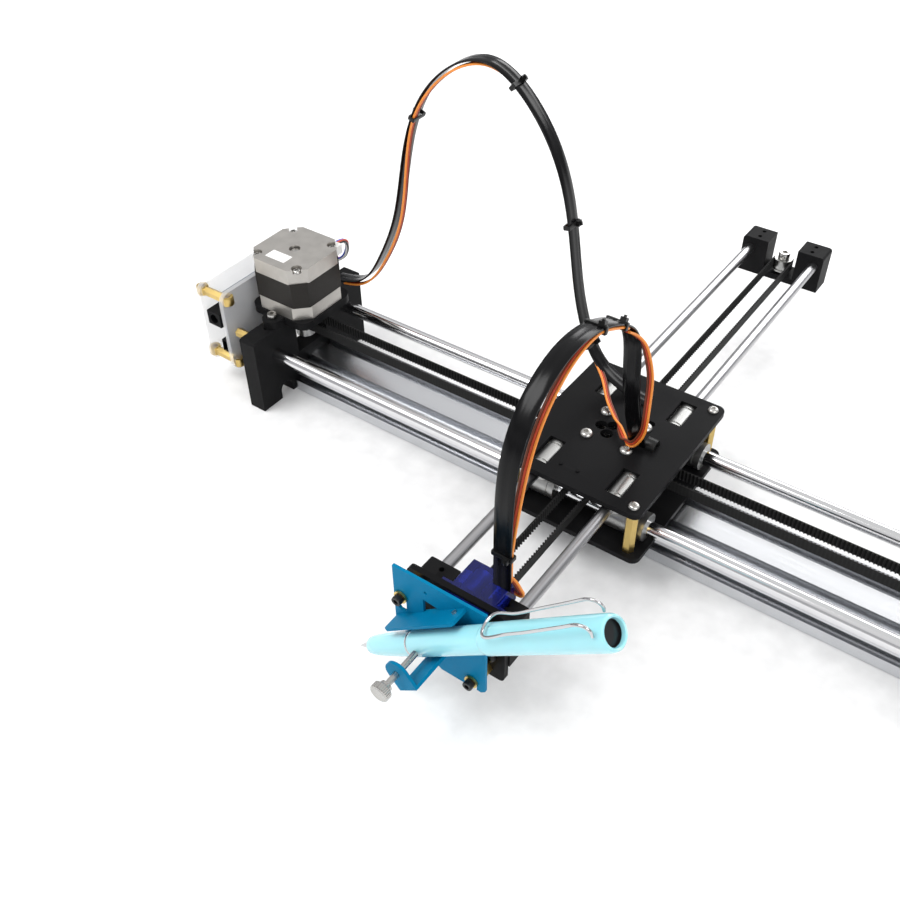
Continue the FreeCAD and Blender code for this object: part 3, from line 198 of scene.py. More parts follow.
def make_materials():
    steel = dict(metallic=1.0, shade=0.9)
    # edge= on a material paints a highlight along its sharp edges
    return {
        "x_rod": surface("x_rod", (0.72, 0.72, 0.73), rough=0.14, vary=0.05, stretch=(0.03, 1, 1), bump=0.01,
                         **steel),
        "y_rod": surface("y_rod", (0.42, 0.42, 0.43), rough=0.3, vary=0.08, stretch=(1, 0.03, 1), bump=0.01,
                         **steel),
        "extrusion": surface("extrusion", (0.66, 0.67, 0.69), rough=0.24, vary=0.08, stretch=(0.01, 1, 1),
                             scale=300, bump=0.03, bump_scale=2600, **steel),
        "black_plate": surface("black_plate", (0.0025, 0.0025, 0.003), rough=0.42, bump=0.1, bump_scale=1500,
                               edge=0.006, Specular_IOR_Level=0.05),
        "moulded": surface("moulded", (0.003, 0.003, 0.0035), rough=0.5, bump=0.25, bump_scale=1100,
                           edge=0.006, Specular_IOR_Level=0.06),
        "screw": surface("screw", (0.50, 0.49, 0.47), rough=0.27, bump=0.05, **steel),
        "black_screw": surface("black_screw", (0.012, 0.012, 0.012), metallic=0.6, rough=0.35, edge=0.02),
        "casting": surface("casting", (0.50, 0.48, 0.45), metallic=0.9, rough=0.38, vary=0.14, scale=160,
                           bump=0.3, bump_scale=2200),
        "stator": banded("stator", (0.022, 0.019, 0.016), (0.009, 0.008, 0.007), 0.0006, metallic=0.5,
                         rough=0.5, bump=0.2),
        # edge=0.2 paints a strong highlight along the acrylic's edges
        "acrylic": surface("acrylic", (0.80, 0.84, 0.88), rough=0.12, vary=0.06, bump=0.0, edge=0.2,
                           Alpha=0.32, Specular_IOR_Level=0.7),
        "board": surface("board", (0.03, 0.045, 0.085), rough=0.35, scale=700, shade=0.5, bump=0.2),
        "brass": surface("brass", (0.62, 0.45, 0.16), rough=0.3, metallic=1.0, bump=0.08, shade=0.75),
        "belt": surface("belt", (0.007, 0.007, 0.007), rough=0.6, bump=0.3, bump_scale=2500, edge=0.015,
                        Specular_IOR_Level=0.08),
        "bearing": surface("bearing", (0.42, 0.42, 0.41), rough=0.36, stretch=(1, 0.2, 1), bump=0.03,
                           **steel),
        "servo": surface("servo", (0.012, 0.025, 0.33), rough=0.08, vary=0.04, bump=0.02, shade=0.6,
                         Transmission_Weight=0.8, IOR=1.2, Coat_Weight=0.5),
        "anodised": surface("anodised", (0.0, 0.18, 0.35), metallic=0.1, rough=0.42, scale=300, bump=0.1,
                            bump_scale=2400, shade=0.9, Specular_IOR_Level=0.06),
        "pen_blue": surface("pen_blue", (0.33, 0.72, 0.79), rough=0.22, vary=0.06, shade=0.95, bump=0.01,
                            Coat_Weight=0.5, Subsurface_Weight=0.08, Subsurface_Scale=0.004),
        "pen_steel": surface("pen_steel", (0.55, 0.55, 0.56), rough=0.14, bump=0.01, **steel),
        "pen_black": surface("pen_black", (0.008, 0.008, 0.009), rough=0.3),
        "strip": surface("strip", (0.003, 0.003, 0.0035), rough=0.2, vary=0.1, scale=40, bump=0.04,
                         bump_scale=300, Specular_IOR_Level=0.18),
        "orange": surface("orange", (0.85, 0.27, 0.035), rough=0.42, bump=0.05, shade=0.88),
        "red": surface("red", (0.50, 0.05, 0.012), rough=0.42, bump=0.05, shade=0.85),
        "brown": surface("brown", (0.16, 0.035, 0.012), rough=0.45, bump=0.05, shade=0.85),
        "tie": surface("tie", (0.006, 0.006, 0.006), rough=0.38, bump=0.1, Specular_IOR_Level=0.3),
        "white": surface("white", (0.82, 0.82, 0.80), rough=0.38, shade=0.93, bump=0.05),
        "label": surface("label", (0.86, 0.86, 0.85), rough=0.3, shade=0.95, bump=0.02),
        "heatsink": surface("heatsink", (0.35, 0.36, 0.38), metallic=1.0, rough=0.4, bump=0.1),
        "wire_blue": surface("wire_blue", (0.05, 0.09, 0.5), rough=0.4),
    }


NODE_MATERIALS = {
    "x_rod": ("x_rod_front", "x_rod_rear"),
    "y_rod": ("y_rod_left", "y_rod_right"),
    "extrusion": ("x_extrusion",),
    "black_plate": ("motor_plate_left", "motor_plate_right", "top_plate", "bottom_plate", "head_plate"),
    "moulded": ("end_block_left", "end_block_right", "arm_block_rear", "arm_block_front", "belt_clamp",
                "limit_switch", "board_sockets"),
    "screw": ("frame_screws", "motor_case_screws", "carriage_screws", "idler_bolts", "rear_idler_bolt",
              "motor_rotor_left", "motor_rotor_right", "lift_pin", "thumb_screw"),
    "black_screw": ("head_screws",),
    "casting": ("motor_flanges", "motor_caps"),
    "stator": ("motor_stators",),
    "acrylic": ("acrylic_inner", "acrylic_outer"),
    "board": ("controller_board",),
    "brass": ("controller_standoffs", "carriage_standoffs", "guide_bushes"),
    "belt": ("drive_belt",),
    "bearing": ("x_bearings", "y_bearings", "idler_front_left", "idler_front_right", "idler_rear_left",
                "idler_rear_right", "rear_idler", "pulley_left", "pulley_right"),
    "servo": ("servo_case",),
    "white": ("servo_horn", "motor_lead"),
    "anodised": ("pen_bracket",),
    "pen_blue": ("pen_grip", "pen_barrel", "pen_cap"),
    "pen_steel": ("pen_nib", "pen_clip"),
    "strip": ("rear_strip", "front_strip"),
    "orange": ("servo_lead",),
    "tie": ("lead_ties",),
    "heatsink": ("driver_heatsinks",),
}


def dress_nodes():
    for name, members in NODE_MATERIALS.items():
        for member in members:
            slots = nodes[member].data.materials
            slots.clear()
            slots.append(materials[name])


# ---------------------------------------------------------------- mesh helpers

def mesh_piece(name, points, faces, mat, sharp=35):
    data = bpy.data.meshes.new(name)
    data.from_pydata([tuple(p) for p in points], [], [tuple(f) for f in faces])
    data.materials.append(mat)
    data.shade_smooth()
    data.set_sharp_from_angle(angle=math.radians(sharp))
    obj = bpy.data.objects.new(name, data)
    bpy.context.scene.collection.objects.link(obj)
    return obj


class Build:
    """Collects points and faces of one mesh."""

    def __init__(self):
        self.points, self.faces = [], []

    def add(self, points, faces):
        base = len(self.points)
        self.points += [Vector(p) for p in points]
        self.faces += [tuple(base + i for i in face) for face in faces]

    def rings(self, rings, closed_ends=True):
        """Skins a list of closed rings that have the same number of points."""
        count = len(rings[0])
        points = [p for ring in rings for p in ring]
        faces = []
        for row in range(len(rings) - 1):
            first, second = row * count, (row + 1) * count
            for i in range(count):
                j = (i + 1) % count
                faces.append((first + i, first + j, second + j, second + i))
        if closed_ends:
            faces.append(tuple(reversed(range(count))))
            faces.append(tuple((len(rings) - 1) * count + i for i in range(count)))
        self.add(points, faces)

    def lathe(self, matrix, profile, steps=40):
        """Turns (radius, height) pairs about the matrix's Z; a radius may be a function of the angle."""
        rings = []
        for radius, height in profile:
            ring = []
            for i in range(steps):
                angle = 2 * math.pi * i / steps
                r = radius(angle) if callable(radius) else radius
                ring.append(matrix @ Vector((r * math.cos(angle), r * math.sin(angle), height)))
            rings.append(ring)
        self.rings(rings)

    def tube(self, path, radius, sides=8):
        tangents = directions(path)
        across = tangents[0].orthogonal().normalized()
        rings = []
        for point, along in zip(path, tangents):
            across = (across - along * across.dot(along)).normalized()
            other = along.cross(across)
            rings.append([point + radius * (math.cos(a) * across + math.sin(a) * other)
                          for a in (2 * math.pi * i / sides for i in range(sides))])
        self.rings(rings)

    def block(self, low, high, matrix=Matrix()):
        corners = [Vector((x, y, z)) for z in (low[2], high[2]) for y in (low[1], high[1])
                   for x in (low[0], high[0])]
        faces = ((0, 2, 3, 1), (4, 5, 7, 6), (0, 1, 5, 4), (2, 6, 7, 3), (0, 4, 6, 2), (1, 3, 7, 5))
        self.add([matrix @ c for c in corners], faces)

    def finish(self, name, mat, sharp=35, bevel=0.0):
        obj = mesh_piece(name, self.points, self.faces, mat, sharp)
        work = bmesh.new()
        work.from_mesh(obj.data)
        bmesh.ops.recalc_face_normals(work, faces=work.faces)
        work.to_mesh(obj.data)
        work.free()
        obj.data.set_sharp_from_angle(angle=math.radians(sharp))
        if bevel > 0:
            soften(obj, bevel)
        return obj


def soften(obj, width, segments=2):
    modifier = obj.modifiers.new("edges", "BEVEL")
    modifier.width, modifier.segments, modifier.limit_method = width, segments, "ANGLE"
    modifier.angle_limit = math.radians(40)
    modifier.harden_normals = True


def applied(obj):
    """The object with its modifiers made part of its mesh."""
    graph = bpy.context.evaluated_depsgraph_get()
    data = bpy.data.meshes.new_from_object(obj.evaluated_get(graph))
    obj.modifiers.clear()
    obj.data = data
    return obj


def directions(path):
    result = []
    for i in range(len(path)):
        before, after = path[max(0, i - 1)], path[min(len(path) - 1, i + 1)]
        result.append((after - before).normalized())
    return result


def smooth_path(points, spacing):
    """A natural cubic spline through points, sampled evenly along its chord length."""
    known = np.array([list(p) for p in points], float)
    chord = np.concatenate([[0], np.cumsum(np.linalg.norm(np.diff(known, axis=0), axis=1))])
    count, gap = len(known), np.diff(chord)
    system, right = np.eye(count), np.zeros_like(known)
    for i in range(1, count - 1):
        system[i, i - 1], system[i, i], system[i, i + 1] = gap[i - 1], 2 * (gap[i - 1] + gap[i]), gap[i]
        right[i] = 6 * ((known[i + 1] - known[i]) / gap[i] - (known[i] - known[i - 1]) / gap[i - 1])
    bend = np.linalg.solve(system, right)
    path = []
    for at in np.linspace(0, chord[-1], max(2, round(chord[-1] / spacing) + 1)):
        i = min(count - 2, int(np.searchsorted(chord, at, side="right")) - 1)
        i = max(0, i)
        a, b, h = chord[i + 1] - at, at - chord[i], gap[i]
        value = (bend[i] * a ** 3 + bend[i + 1] * b ** 3) / (6 * h)
        value = value + (known[i] / h - bend[i] * h / 6) * a + (known[i + 1] / h - bend[i + 1] * h / 6) * b
        path.append(Vector(value))
    return path


def across_joint(obj, first, second, start, end, margin):
    """Bakes the piece's transform into its mesh; the piece is not bent between the two bodies."""
    start, end = Vector(start), Vector(end)
    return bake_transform(obj)


# ---------------------------------------------------------------- belt

BELT_PITCH = 2 * MM
BELT_WEB = 0.63 * MM
# one tooth in mm: the way along the belt, and the depth past the web's root
TOOTH = ((0.5, 0.0), (0.68, 0.55), (0.85, 0.75), (1.15, 0.75), (1.32, 0.55), (1.5, 0.0))
SMOOTH_STEPS = 24
RUN_MARGIN = 14 * MM
# where the belt's arc round each inner idler starts, by the idler's side in X and in Y
CORNER_STARTS = {(-1, -1): 0.0, (1, -1): math.pi / 2, (1, 1): math.pi, (-1, 1): 1.5 * math.pi}


def belt_stretch(name, length, at, toothed=True):
    """A stretch of belt; at(s, depth) gives the plan point at s along it, depth past the web's root."""
    samples = [(0.0, 0.0)]
    if toothed:
        for tooth in range(int(length / BELT_PITCH)):
            samples += [((tooth * 2 + s) * MM, depth * MM) for s, depth in TOOTH]
    else:
        samples += [(length * i / SMOOTH_STEPS, 0.0) for i in range(1, SMOOTH_STEPS)]
    samples.append((length, 0.0))
    low, high = (corner.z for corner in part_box("drive_belt"))
    rings = []
    for s, depth in samples:
        inner, outer = at(s, depth), at(s, -BELT_WEB)
        section = ((inner, low), (outer, low), (outer, high), (inner, high))
        rings.append([Vector((*plan, z)) for plan, z in section])
    build = Build()
    build.rings(rings)
    return build.finish(name, materials["belt"], sharp=28)


def straight(start, end, tooth_side):
    start, end, side = Vector(start), Vector(end), Vector(tooth_side)
    along = (end - start).normalized()
    return (end - start).length, lambda s, depth: start + along * s + side * depth


def round_arc(centre, radius, start, sweep, inward):
    """An arc whose web root is at a radius; its teeth point to the centre, or away from it."""
    centre = Vector(centre)
    sign = -1 if inward else 1

    def at(s, depth):
        angle = start + sweep * s / (radius * abs(sweep))
        r = radius + sign * depth
        return centre + Vector((math.cos(angle), math.sin(angle))) * r

    return radius * abs(sweep), at


def body_of(node):
    bodies = frame["record"]["behaviour"]["bodies"]
    return next(body for body, members in bodies.items() if node in members)


def middle(node):
    low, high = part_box(node)
    return (low + high) / 2


def make_belt():
    """The loop in stretches; each straight run keeps one length and is not stretched between the two bodies it
    joins.
    """
    gap = 0.02 * MM
    pulley_r, idler_r = 4.84 * MM + gap, 5 * MM + gap
    root_x = 5 * MM + 0.75 * MM + gap
    for name, side in (("left", -1), ("right", 1)):
        pulley = middle(f"pulley_{name}")
        for row, front in (("front", -1), ("rear", 1)):
            idler = middle(f"idler_{row}_{name}")
            y = front * pulley_r
            run = belt_stretch(f"belt_{row}_{name}", *straight((pulley.x, y), (idler.x, y), (0, -front)))
            across_joint(run, "frame", "carriage", (pulley.x, 0, 0), (idler.x, 0, 0), RUN_MARGIN)
            far_y = middle("rear_idler").y if front > 0 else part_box("belt_clamp")[0].y + 3 * MM
            x = side * root_x
            arm_run = belt_stretch(f"belt_arm_{row}_{name}",
                                   *straight((x, idler.y), (x, far_y), (-side, 0)))
            across_joint(arm_run, "carriage", "arm", (0, idler.y, 0), (0, far_y, 0), RUN_MARGIN)
            corner_arc = round_arc((idler.x, idler.y), idler_r + BELT_WEB, CORNER_STARTS[side, front],
                                   math.pi / 2, inward=False)
            corner = belt_stretch(f"belt_corner_{row}_{name}", *corner_arc)
            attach(corner, "carriage")
        start = math.pi / 2 if side < 0 else -math.pi / 2
        wrap_arc = round_arc((pulley.x, 0), pulley_r, start, math.pi, inward=True)
        wrap = belt_stretch(f"belt_wrap_{name}", *wrap_arc, toothed=False)
        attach(wrap, "frame")
    back = middle("rear_idler")
    wrap_arc = round_arc((back.x, back.y), root_x, 0.0, math.pi, inward=True)
    wrap = belt_stretch("belt_wrap_back", *wrap_arc)
    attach(wrap, "arm")
    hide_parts("drive_belt")


# ---------------------------------------------------------------- strips, ties and servo lead

# the middle of each strip, along its slide and up, in mm
REAR_ARCH = ((-213, 55.6), (-192, 62), (-175, 84), (-162, 114), (-150, 166), (-131, 200), (-101, 215),
             (-73, 197), (-54, 161), (-47, 126), (-38, 88), (-26, 68), (-4, 57.2), (3, 56.05))
FRONT_ARCH = ((-3.5, 55.75), (-14, 84), (-21, 111), (-27, 138), (-50, 158), (-90, 165), (-116, 148),
              (-126, 105), (-126, 74), (-126, 64.4))
LEAD_CROSSING = ((-37, 30, 82), (-30, 28.5, 71), (-21, 22.8, 64.8), (-13.3, 13.8, 62), (-4.5, 5.5, 60),
                 (3.5, -2.2, 59), (8.5, -6.8, 58.6), (12, -9, 59.5), (16.5, -11.5, 65), (20, -13.3, 74),
                 (21.3, -15, 86), (21.5, -15.8, 99.5), (21.5, -17.4, 112.5), (20.5, -20.5, 124),
                 (19, -24.5, 134), (17, -30, 141), (16.4, -37, 146.5))
LEAD_CURL = ((16.5, -124.6, 71), (18.9, -124, 69), (20.6, -122.8, 64.5), (21, -121.6, 61),
             (19.4, -120.8, 58.4), (16.8, -120.6, 58.6))
MOTOR_LEAD = ((-208, 23.6, 83), (-208, 33, 81), (-214, 38, 66), (-233, 39, 58), (-249, 38, 55),
              (-250.5, 25.5, 53))
# the ties' places, as shares of the way along each strip
REAR_TIES = (0.36, 0.55, 0.73, 0.89)
FRONT_TIES = (0.39, 0.47, 0.925)
# how far the wires stand off the strip between its ties, in mm
REAR_SLACK = (3.4, 0.9, 0.4, 0.6, 0.0)
FRONT_SLACK = (0.0, 0.4, 9.5, 0.0)
STRIP_THICK = 1.0 * MM
ARCH_MARGIN = 10 * MM
# the share of an arch over which its wires move from its edge to its middle
INWARD_OVER = 0.08
WIRE_RADIUS = 0.62 * MM


def arch_path(name):
    """Middle of a strip's section along its arch, and the direction across its width."""
    low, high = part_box(f"{name}_strip")
    if name == "rear":
        across = (low.y + high.y) / 2
        return [Vector((a * MM, across, b * MM)) for a, b in REAR_ARCH], Vector((0, 1, 0)), high.y - low.y
    across = (low.x + high.x) / 2
    return [Vector((across, a * MM, b * MM)) for a, b in FRONT_ARCH], Vector((1, 0, 0)), high.x - low.x


def arch_feet(name):
    """Where an arch starts and ends along the slide that it follows."""
    known = arch_path(name)[0]
    axis = Vector((1, 0, 0)) if name == "rear" else Vector((0, 1, 0))
    return axis * known[0].dot(axis), axis * known[-1].dot(axis)


def normals(path, wide):
    return [along.cross(wide).normalized() for along in directions(path)]


def strip_mesh(name, path, wide, width):
    """A flat strip with rounded edges and a shallow groove on each face."""
    half, t = width / 2, STRIP_THICK / 2
    section = [(-half, -t * 0.5), (-half + 0.3 * MM, -t), (-1.2 * MM, -t), (0, -t * 0.72), (1.2 * MM, -t),
               (half - 0.3 * MM, -t), (half, -t * 0.5)]
    section += [(-a, -b) for a, b in section]
    build = Build()
    build.rings([[point + wide * a + out * b for a, b in section]
                 for point, out in zip(path, normals(path, wide))])
    return build.finish(name, materials["strip"], sharp=50)


def make_tie(name, path, wide, width, fraction, inward):
    """A band round the strip and lead, its lock head, and a short cut tail."""
    index = round(fraction * (len(path) - 1))
    point, along, out = path[index], directions(path)[index], normals(path, wide)[index]
    turn = Matrix((along, wide, out)).transposed().to_4x4()
    place = Matrix.Translation(point) @ turn
    near, deep = STRIP_THICK / 2 + 0.05 * MM, STRIP_THICK / 2 + 1.5 * MM
    low, high = (-deep, near) if inward < 0 else (-near, deep)
    half, band, length = width / 2 + 0.05 * MM, 0.7 * MM, 1.1 * MM
    rings = []
    for s, skin in ((-length, 0.35), (-length, 0.85), (-length * 0.6, 1.0), (length * 0.6, 1.0),
                    (length, 0.85), (length, 0.35)):
        grow = band * skin
        far, near_far = half + grow, half + grow * 0.5
        bottom, near_bottom = low - grow, low - grow * 0.5
        top, near_top = high + grow, high + grow * 0.5
        section = ((-far, near_bottom), (-near_far, bottom), (near_far, bottom), (far, near_bottom),
                   (far, near_top), (near_far, top), (-near_far, top), (-far, near_top))
        rings.append([place @ Vector((s, y, z)) for y, z in section])
    build = Build()
    build.rings(rings, closed_ends=False)
    # the bore has each corner twice, to match the eight points of the outer rings
    bore = [(y, z) for y, z in ((-half, low), (half, low), (half, high), (-half, high)) for _ in range(2)]
    inner = [[place @ Vector((s, y, z)) for y, z in bore] for s in (-length, length)]
    build.rings([rings[0], inner[0], inner[1], rings[-1]], closed_ends=False)
    lock_high, tail_long = 1.8 * MM, 1.0 * MM
    lock_low = high + band * 0.7 if inward < 0 else low - band * 0.7 - lock_high
    build.block((-1.4 * MM, half - 3.4 * MM, lock_low),
                (1.4 * MM, half - 0.6 * MM, lock_low + lock_high), place)
    tail = lock_low + (lock_high if inward < 0 else -tail_long)
    build.block((-0.9 * MM, half - 2.4 * MM, tail), (0.9 * MM, half - 1.6 * MM, tail + tail_long), place)
    tie = build.finish(name, materials["tie"], sharp=40)
    return tie


def wires(name, path, wide, colours=("orange", "red", "brown"), radius=WIRE_RADIUS):
    """Insulated wires side by side along a path; wide gives the direction from one to the next."""
    result = []
    for index, colour in enumerate(colours):
        shift = (index - (len(colours) - 1) / 2) * radius * 2.02
        line = [point + side * shift for point, side in zip(path, wide)]
        build = Build()
        build.tube(line, radius, sides=10)
        wire = build.finish(f"{name}_{colour}", materials[colour], sharp=60)
        result.append(wire)
    return result


def beside(path, wide, shift, hollow, slack):
    """A line along the strip's hollow side; shift and slack give its place at a share of the way."""
    line = []
    for index, (point, out) in enumerate(zip(path, normals(path, wide))):
        share = index / (len(path) - 1)
        away = STRIP_THICK / 2 + WIRE_RADIUS * 1.15 + slack(share)
        line.append(point + out * hollow * away + wide * shift(share))
    return line


def hanging(ties, amounts):
    """Slack in mm: nothing at each tie, and the given amount midway between two of them."""
    stops = (0.0, *ties, 1.0)

    def slack(at):
        for first, second, amount in zip(stops, stops[1:], amounts):
            if first <= at <= second:
                share = (at - first) / (second - first)
                return amount * MM * math.sin(math.pi * share) ** 1.3
        return 0.0

    return slack


def hollow_side(path, wide):
    """1 where the strip's normals point into its arch at the top, -1 where they point out."""
    top = max(range(len(path)), key=lambda i: path[i].z)
    return -1 if normals(path, wide)[top].z > 0 else 1


def make_arch(name, first, second, ties, slack, reach, edge, inward_from=1.0):
    """One standing strip with its ties and the wires tied along it.

    The wires follow one edge of the strip, and move in behind its middle from inward_from on.
    """
    known, wide, width = arch_path(name)
    path = smooth_path(known, 2.5 * MM)
    start, end = arch_feet(name)
    hollow = hollow_side(path, wide)

    def shift(share):
        inward = min(1.0, max(0.0, (share - inward_from) / INWARD_OVER))
        return edge * (width / 2 - 3.1 * WIRE_RADIUS) * (1 - inward)

    line = beside(path, wide, shift, hollow, hanging(ties, slack))
    line = line[round(reach[0] * len(line)):round(reach[1] * len(line))]
    strip = strip_mesh(f"{name}_cable_strip", path, wide, width)
    lead = wires(f"lead_{name}", line, [wide * -edge] * len(line))
    bands = [make_tie(f"tie_{name}_{index + 1}", path, wide, width, fraction, hollow)
             for index, fraction in enumerate(ties)]
    for piece in (strip, *lead, *bands):
        across_joint(piece, first, second, start, end, ARCH_MARGIN)
    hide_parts(f"{name}_strip")
    return lead, bands


def make_arches():
    lead, bands = make_arch("rear", "frame", "carriage", REAR_TIES, REAR_SLACK, (0.02, 0.905), -1,
                           inward_from=REAR_TIES[1] - INWARD_OVER)
    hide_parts("servo_lead")
    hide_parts("lead_ties")
    make_arch("front", "carriage", "arm", FRONT_TIES, FRONT_SLACK, (0.37, 0.985), 1)
    make_lead_crossing()


def make_lead_crossing():
    """The lead's loop over the carriage, up to the front strip, and its curl into the servo."""
    path = smooth_path([Vector(p) * MM for p in LEAD_CROSSING], 1.5 * MM)
    sides = []
    for index, along in enumerate(directions(path)):
        share = min(1.0, 1.5 * index / (len(path) - 1))
        lean = Vector((0, 1, 0)).lerp(Vector((-1, 0, 0)), share)
        sides.append((lean - along * lean.dot(along)).normalized())
    lowest = min(range(len(path)), key=lambda index: path[index].z)
    for wire in wires("lead_crossing_rear", path[:lowest + 1], sides[:lowest + 1]):
        across_joint(wire, "frame", "carriage", *arch_feet("rear"), ARCH_MARGIN)
    # the front half is baked where it stands; it does not bend between the V's foot and the front strip
    foot, top = path[lowest].y, path[-1].y
    start, end = (at.y for at in arch_feet("front"))
    share = (start + ARCH_MARGIN - top) / (start - end + 2 * ARCH_MARGIN)
    for wire in wires("lead_crossing_front", path[lowest:], sides[lowest:]):
        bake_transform(wire)
    path = smooth_path([Vector(p) * MM for p in LEAD_CURL], 0.8 * MM)
    sides = [Vector((0, 1, 0)).cross(along).normalized() for along in directions(path)]
    for wire in wires("lead_servo", path, sides):
        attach(wire, "arm")


# ---------------------------------------------------------------- pen

# along the pen, from the thumb screw's axis to the nib's tip
CLAMP_TO_TIP = 50.5 * MM
CLIP_TURN = math.radians(14)
# half the distance between the clip's two legs, and the wire's radius
CLIP_HALF = 5.5
CLIP_WIRE = 0.68 * MM


def pen_matrix():
    """Z along the pen from the nib's tip to the cap's end; X towards the pen's underside."""
    along = Vector(joints["pen_slide"]["axis"]).normalized()
    clamp = middle("thumb_screw")
    barrel = middle("pen_barrel")
    tip = Vector((clamp.x, barrel.y, clamp.z)) - along * CLAMP_TO_TIP
    across = Vector((0, 1, 0))
    return Matrix.Translation(tip) @ Matrix((across.cross(along), across, along)).transposed().to_4x4()


def pen_piece(name, matrix, profile, mat, nodes_replaced=()):
    """A piece of the pen, turned from (radius, height) pairs in mm."""
    build = Build()
    build.lathe(matrix, [(r * MM, h * MM) for r, h in profile], steps=64)
    piece = build.finish(name, materials[mat], sharp=30)
    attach(piece, "pen")
    if nodes_replaced:
        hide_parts(*nodes_replaced)


def make_pen():
    matrix = pen_matrix()
    feed = [(0.1, 0.3), (0.35, 1.5), (0.8, 4), (1.4, 7), (1.8, 9), (2.4, 10.5)]
    pen_piece("pen_feed", matrix, feed, "pen_black", ("pen_nib",))
    make_nib_plate(matrix)
    grip = [(2.6, 9.6), (3.6, 9.9), (4.15, 10.9), (4.55, 13), (4.95, 17), (5.25, 23), (5.5, 30),
            (5.72, 38), (5.8, 42.6), (5.6, 42.9), (3, 42.9)]
    pen_piece("pen_section", matrix, grip, "pen_blue", ("pen_grip",))
    ring = [(4, 42.9), (5.95, 42.9), (6.08, 43.2), (6.08, 43.8), (5.95, 44.1), (4, 44.1)]
    pen_piece("pen_ring", matrix, ring, "pen_steel")
    barrel = [(4, 44.1), (5.9, 44.1), (6.12, 44.5), (6.2, 46), (6.2, 92), (6.0, 94), (4, 94)]
    pen_piece("pen_body", matrix, barrel, "pen_blue", ("pen_barrel",))
    cap = [(5.9, 93.4), (6.0, 92.9), (6.35, 92.7), (6.6, 93.2), (6.68, 94.5), (6.75, 104), (6.9, 125),
           (7.05, 145), (7.08, 156), (7.0, 159.4), (6.65, 160.9), (6.0, 161.5), (5.35, 161.2),
           (5.1, 160.5), (5.05, 158.5)]
    pen_piece("pen_cap_shell", matrix, cap, "pen_blue", ("pen_cap",))
    plug = [(0.5, 158.9), (3.5, 158.8), (5.0, 158.6), (5.08, 159.6), (5.08, 157), (3, 156)]
    pen_piece("pen_cap_plug", matrix, plug, "pen_black")
    make_clip(matrix)


def make_nib_plate(matrix):
    """A curved steel plate that lies over the feed and narrows to the point."""
    # height and radius in mm, and half the angle that the plate spans
    sections = ((0, 0.12, 0.9), (1.5, 0.6, 1.1), (4, 1.15, 1.3), (7, 1.8, 1.4), (9, 2.2, 1.4),
                (10.5, 2.5, 1.3))
    thick, steps = 0.22, 8
    rings = []
    for height, radius, spread in sections:
        angles = [spread * (2 * i / steps - 1) for i in range(steps + 1)]
        loop = [(radius + thick, angle) for angle in angles]
        loop += [(radius, angle) for angle in reversed(angles)]
        rings.append([matrix @ (Vector((-r * math.cos(angle), r * math.sin(angle), height)) * MM)
                      for r, angle in loop])
    build = Build()
    build.rings(rings)
    plate = build.finish("pen_nib_plate", materials["pen_steel"], sharp=50)
    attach(plate, "pen")


def make_clip(matrix):
    """One springy wire: two legs from the cap's end, joined by a round bend near its lip."""
    half = CLIP_HALF
    leg = [(5.6, half, 157.9), (8.2, half, 159.2), (10.9, half, 158.8), (12.4, half, 156.2),
           (12.3, half, 151.5), (10.7, half * 0.97, 137), (9.2, half * 0.92, 122), (8.6, half * 0.9, 113),
           (8.6, half * 1.05, 106), (8.7, half * 0.95, 101.5)]
    points = leg + [(8.7, 0, 99)] + [(a, -b, c) for a, b, c in reversed(leg)]
    place = matrix @ Matrix.Rotation(CLIP_TURN, 4, "Z")
    path = smooth_path([place @ Vector((-a * MM, b * MM, c * MM)) for a, b, c in points], 0.8 * MM)
    build = Build()
    build.tube(path, CLIP_WIRE, sides=12)
    clip = build.finish("pen_clip_wire", materials["pen_steel"], sharp=60)
    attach(clip, "pen")
    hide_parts("pen_clip")


# ---------------------------------------------------------------- screws

def solids_of(node):
    """The separate solids of a CAD node, each as a list of its points."""
    work = bmesh.new()
    work.from_mesh(nodes[node].data)
    bmesh.ops.remove_doubles(work, verts=work.verts, dist=1e-6)
    left, found = set(work.verts), []
    while left:
        stack, points = [left.pop()], []
        while stack:
            vertex = stack.pop()
            points.append(nodes[node].matrix_world @ vertex.co)
            for edge in vertex.link_edges:
                other = edge.other_vert(vertex)
                if other in left:
                    left.remove(other)
                    stack.append(other)
        found.append(points)
    work.free()
    return found


def screw_shape(points):
    """Axis matrix (Z out of the head), length, head radius, shank radius and head height.

    The longest side is taken as the axis, so a solid that is wider than it is long comes out turned.
    """
    low = Vector([min(p[i] for p in points) for i in range(3)])
    high = Vector([max(p[i] for p in points) for i in range(3)])
    span = high - low
    axis = max(range(3), key=lambda i: span[i])
    centre = (low + high) / 2
    out = Vector([1.0 if i == axis else 0.0 for i in range(3)])

    def radius(point):
        return ((point - centre) - out * (point - centre).dot(out)).length

    ends = {sign: max(radius(p) for p in points if abs((p - centre).dot(out) * sign - span[axis] / 2) < 1e-5)
            for sign in (-1, 1)}
    widest = max(radius(p) for p in points)
    shank = min(ends.values())
    same = abs(ends[1] - ends[-1]) < shank * 0.05
    sign = 1 if same or ends[1] > ends[-1] * 1.05 else -1
    wide = [abs((p - centre).dot(out) * sign - span[axis] / 2) for p in points if radius(p) > shank * 1.1]
    foot = centre - out * sign * span[axis] / 2
    turn = (out * sign).to_track_quat("Z", "X").to_matrix().to_4x4()
    return Matrix.Translation(foot) @ turn, span[axis], widest, shank, max(wide, default=0.0)


def has_high_head(shape):
    length, head, high = shape[1], shape[2], shape[4]
    return 0.8 * head < high < length


def hexagonal(flats):
    """The radius of a hexagon at an angle, from the distance across its flats."""
    return lambda angle: flats / 2 / math.cos((angle + math.pi / 6) % (math.pi / 3) - math.pi / 6)


def cross_slot(arm):
    """The radius of a cross-shaped recess at an angle."""
    return lambda angle: arm * (1.0 if abs(math.sin(2 * angle)) < 0.42 else 0.42)


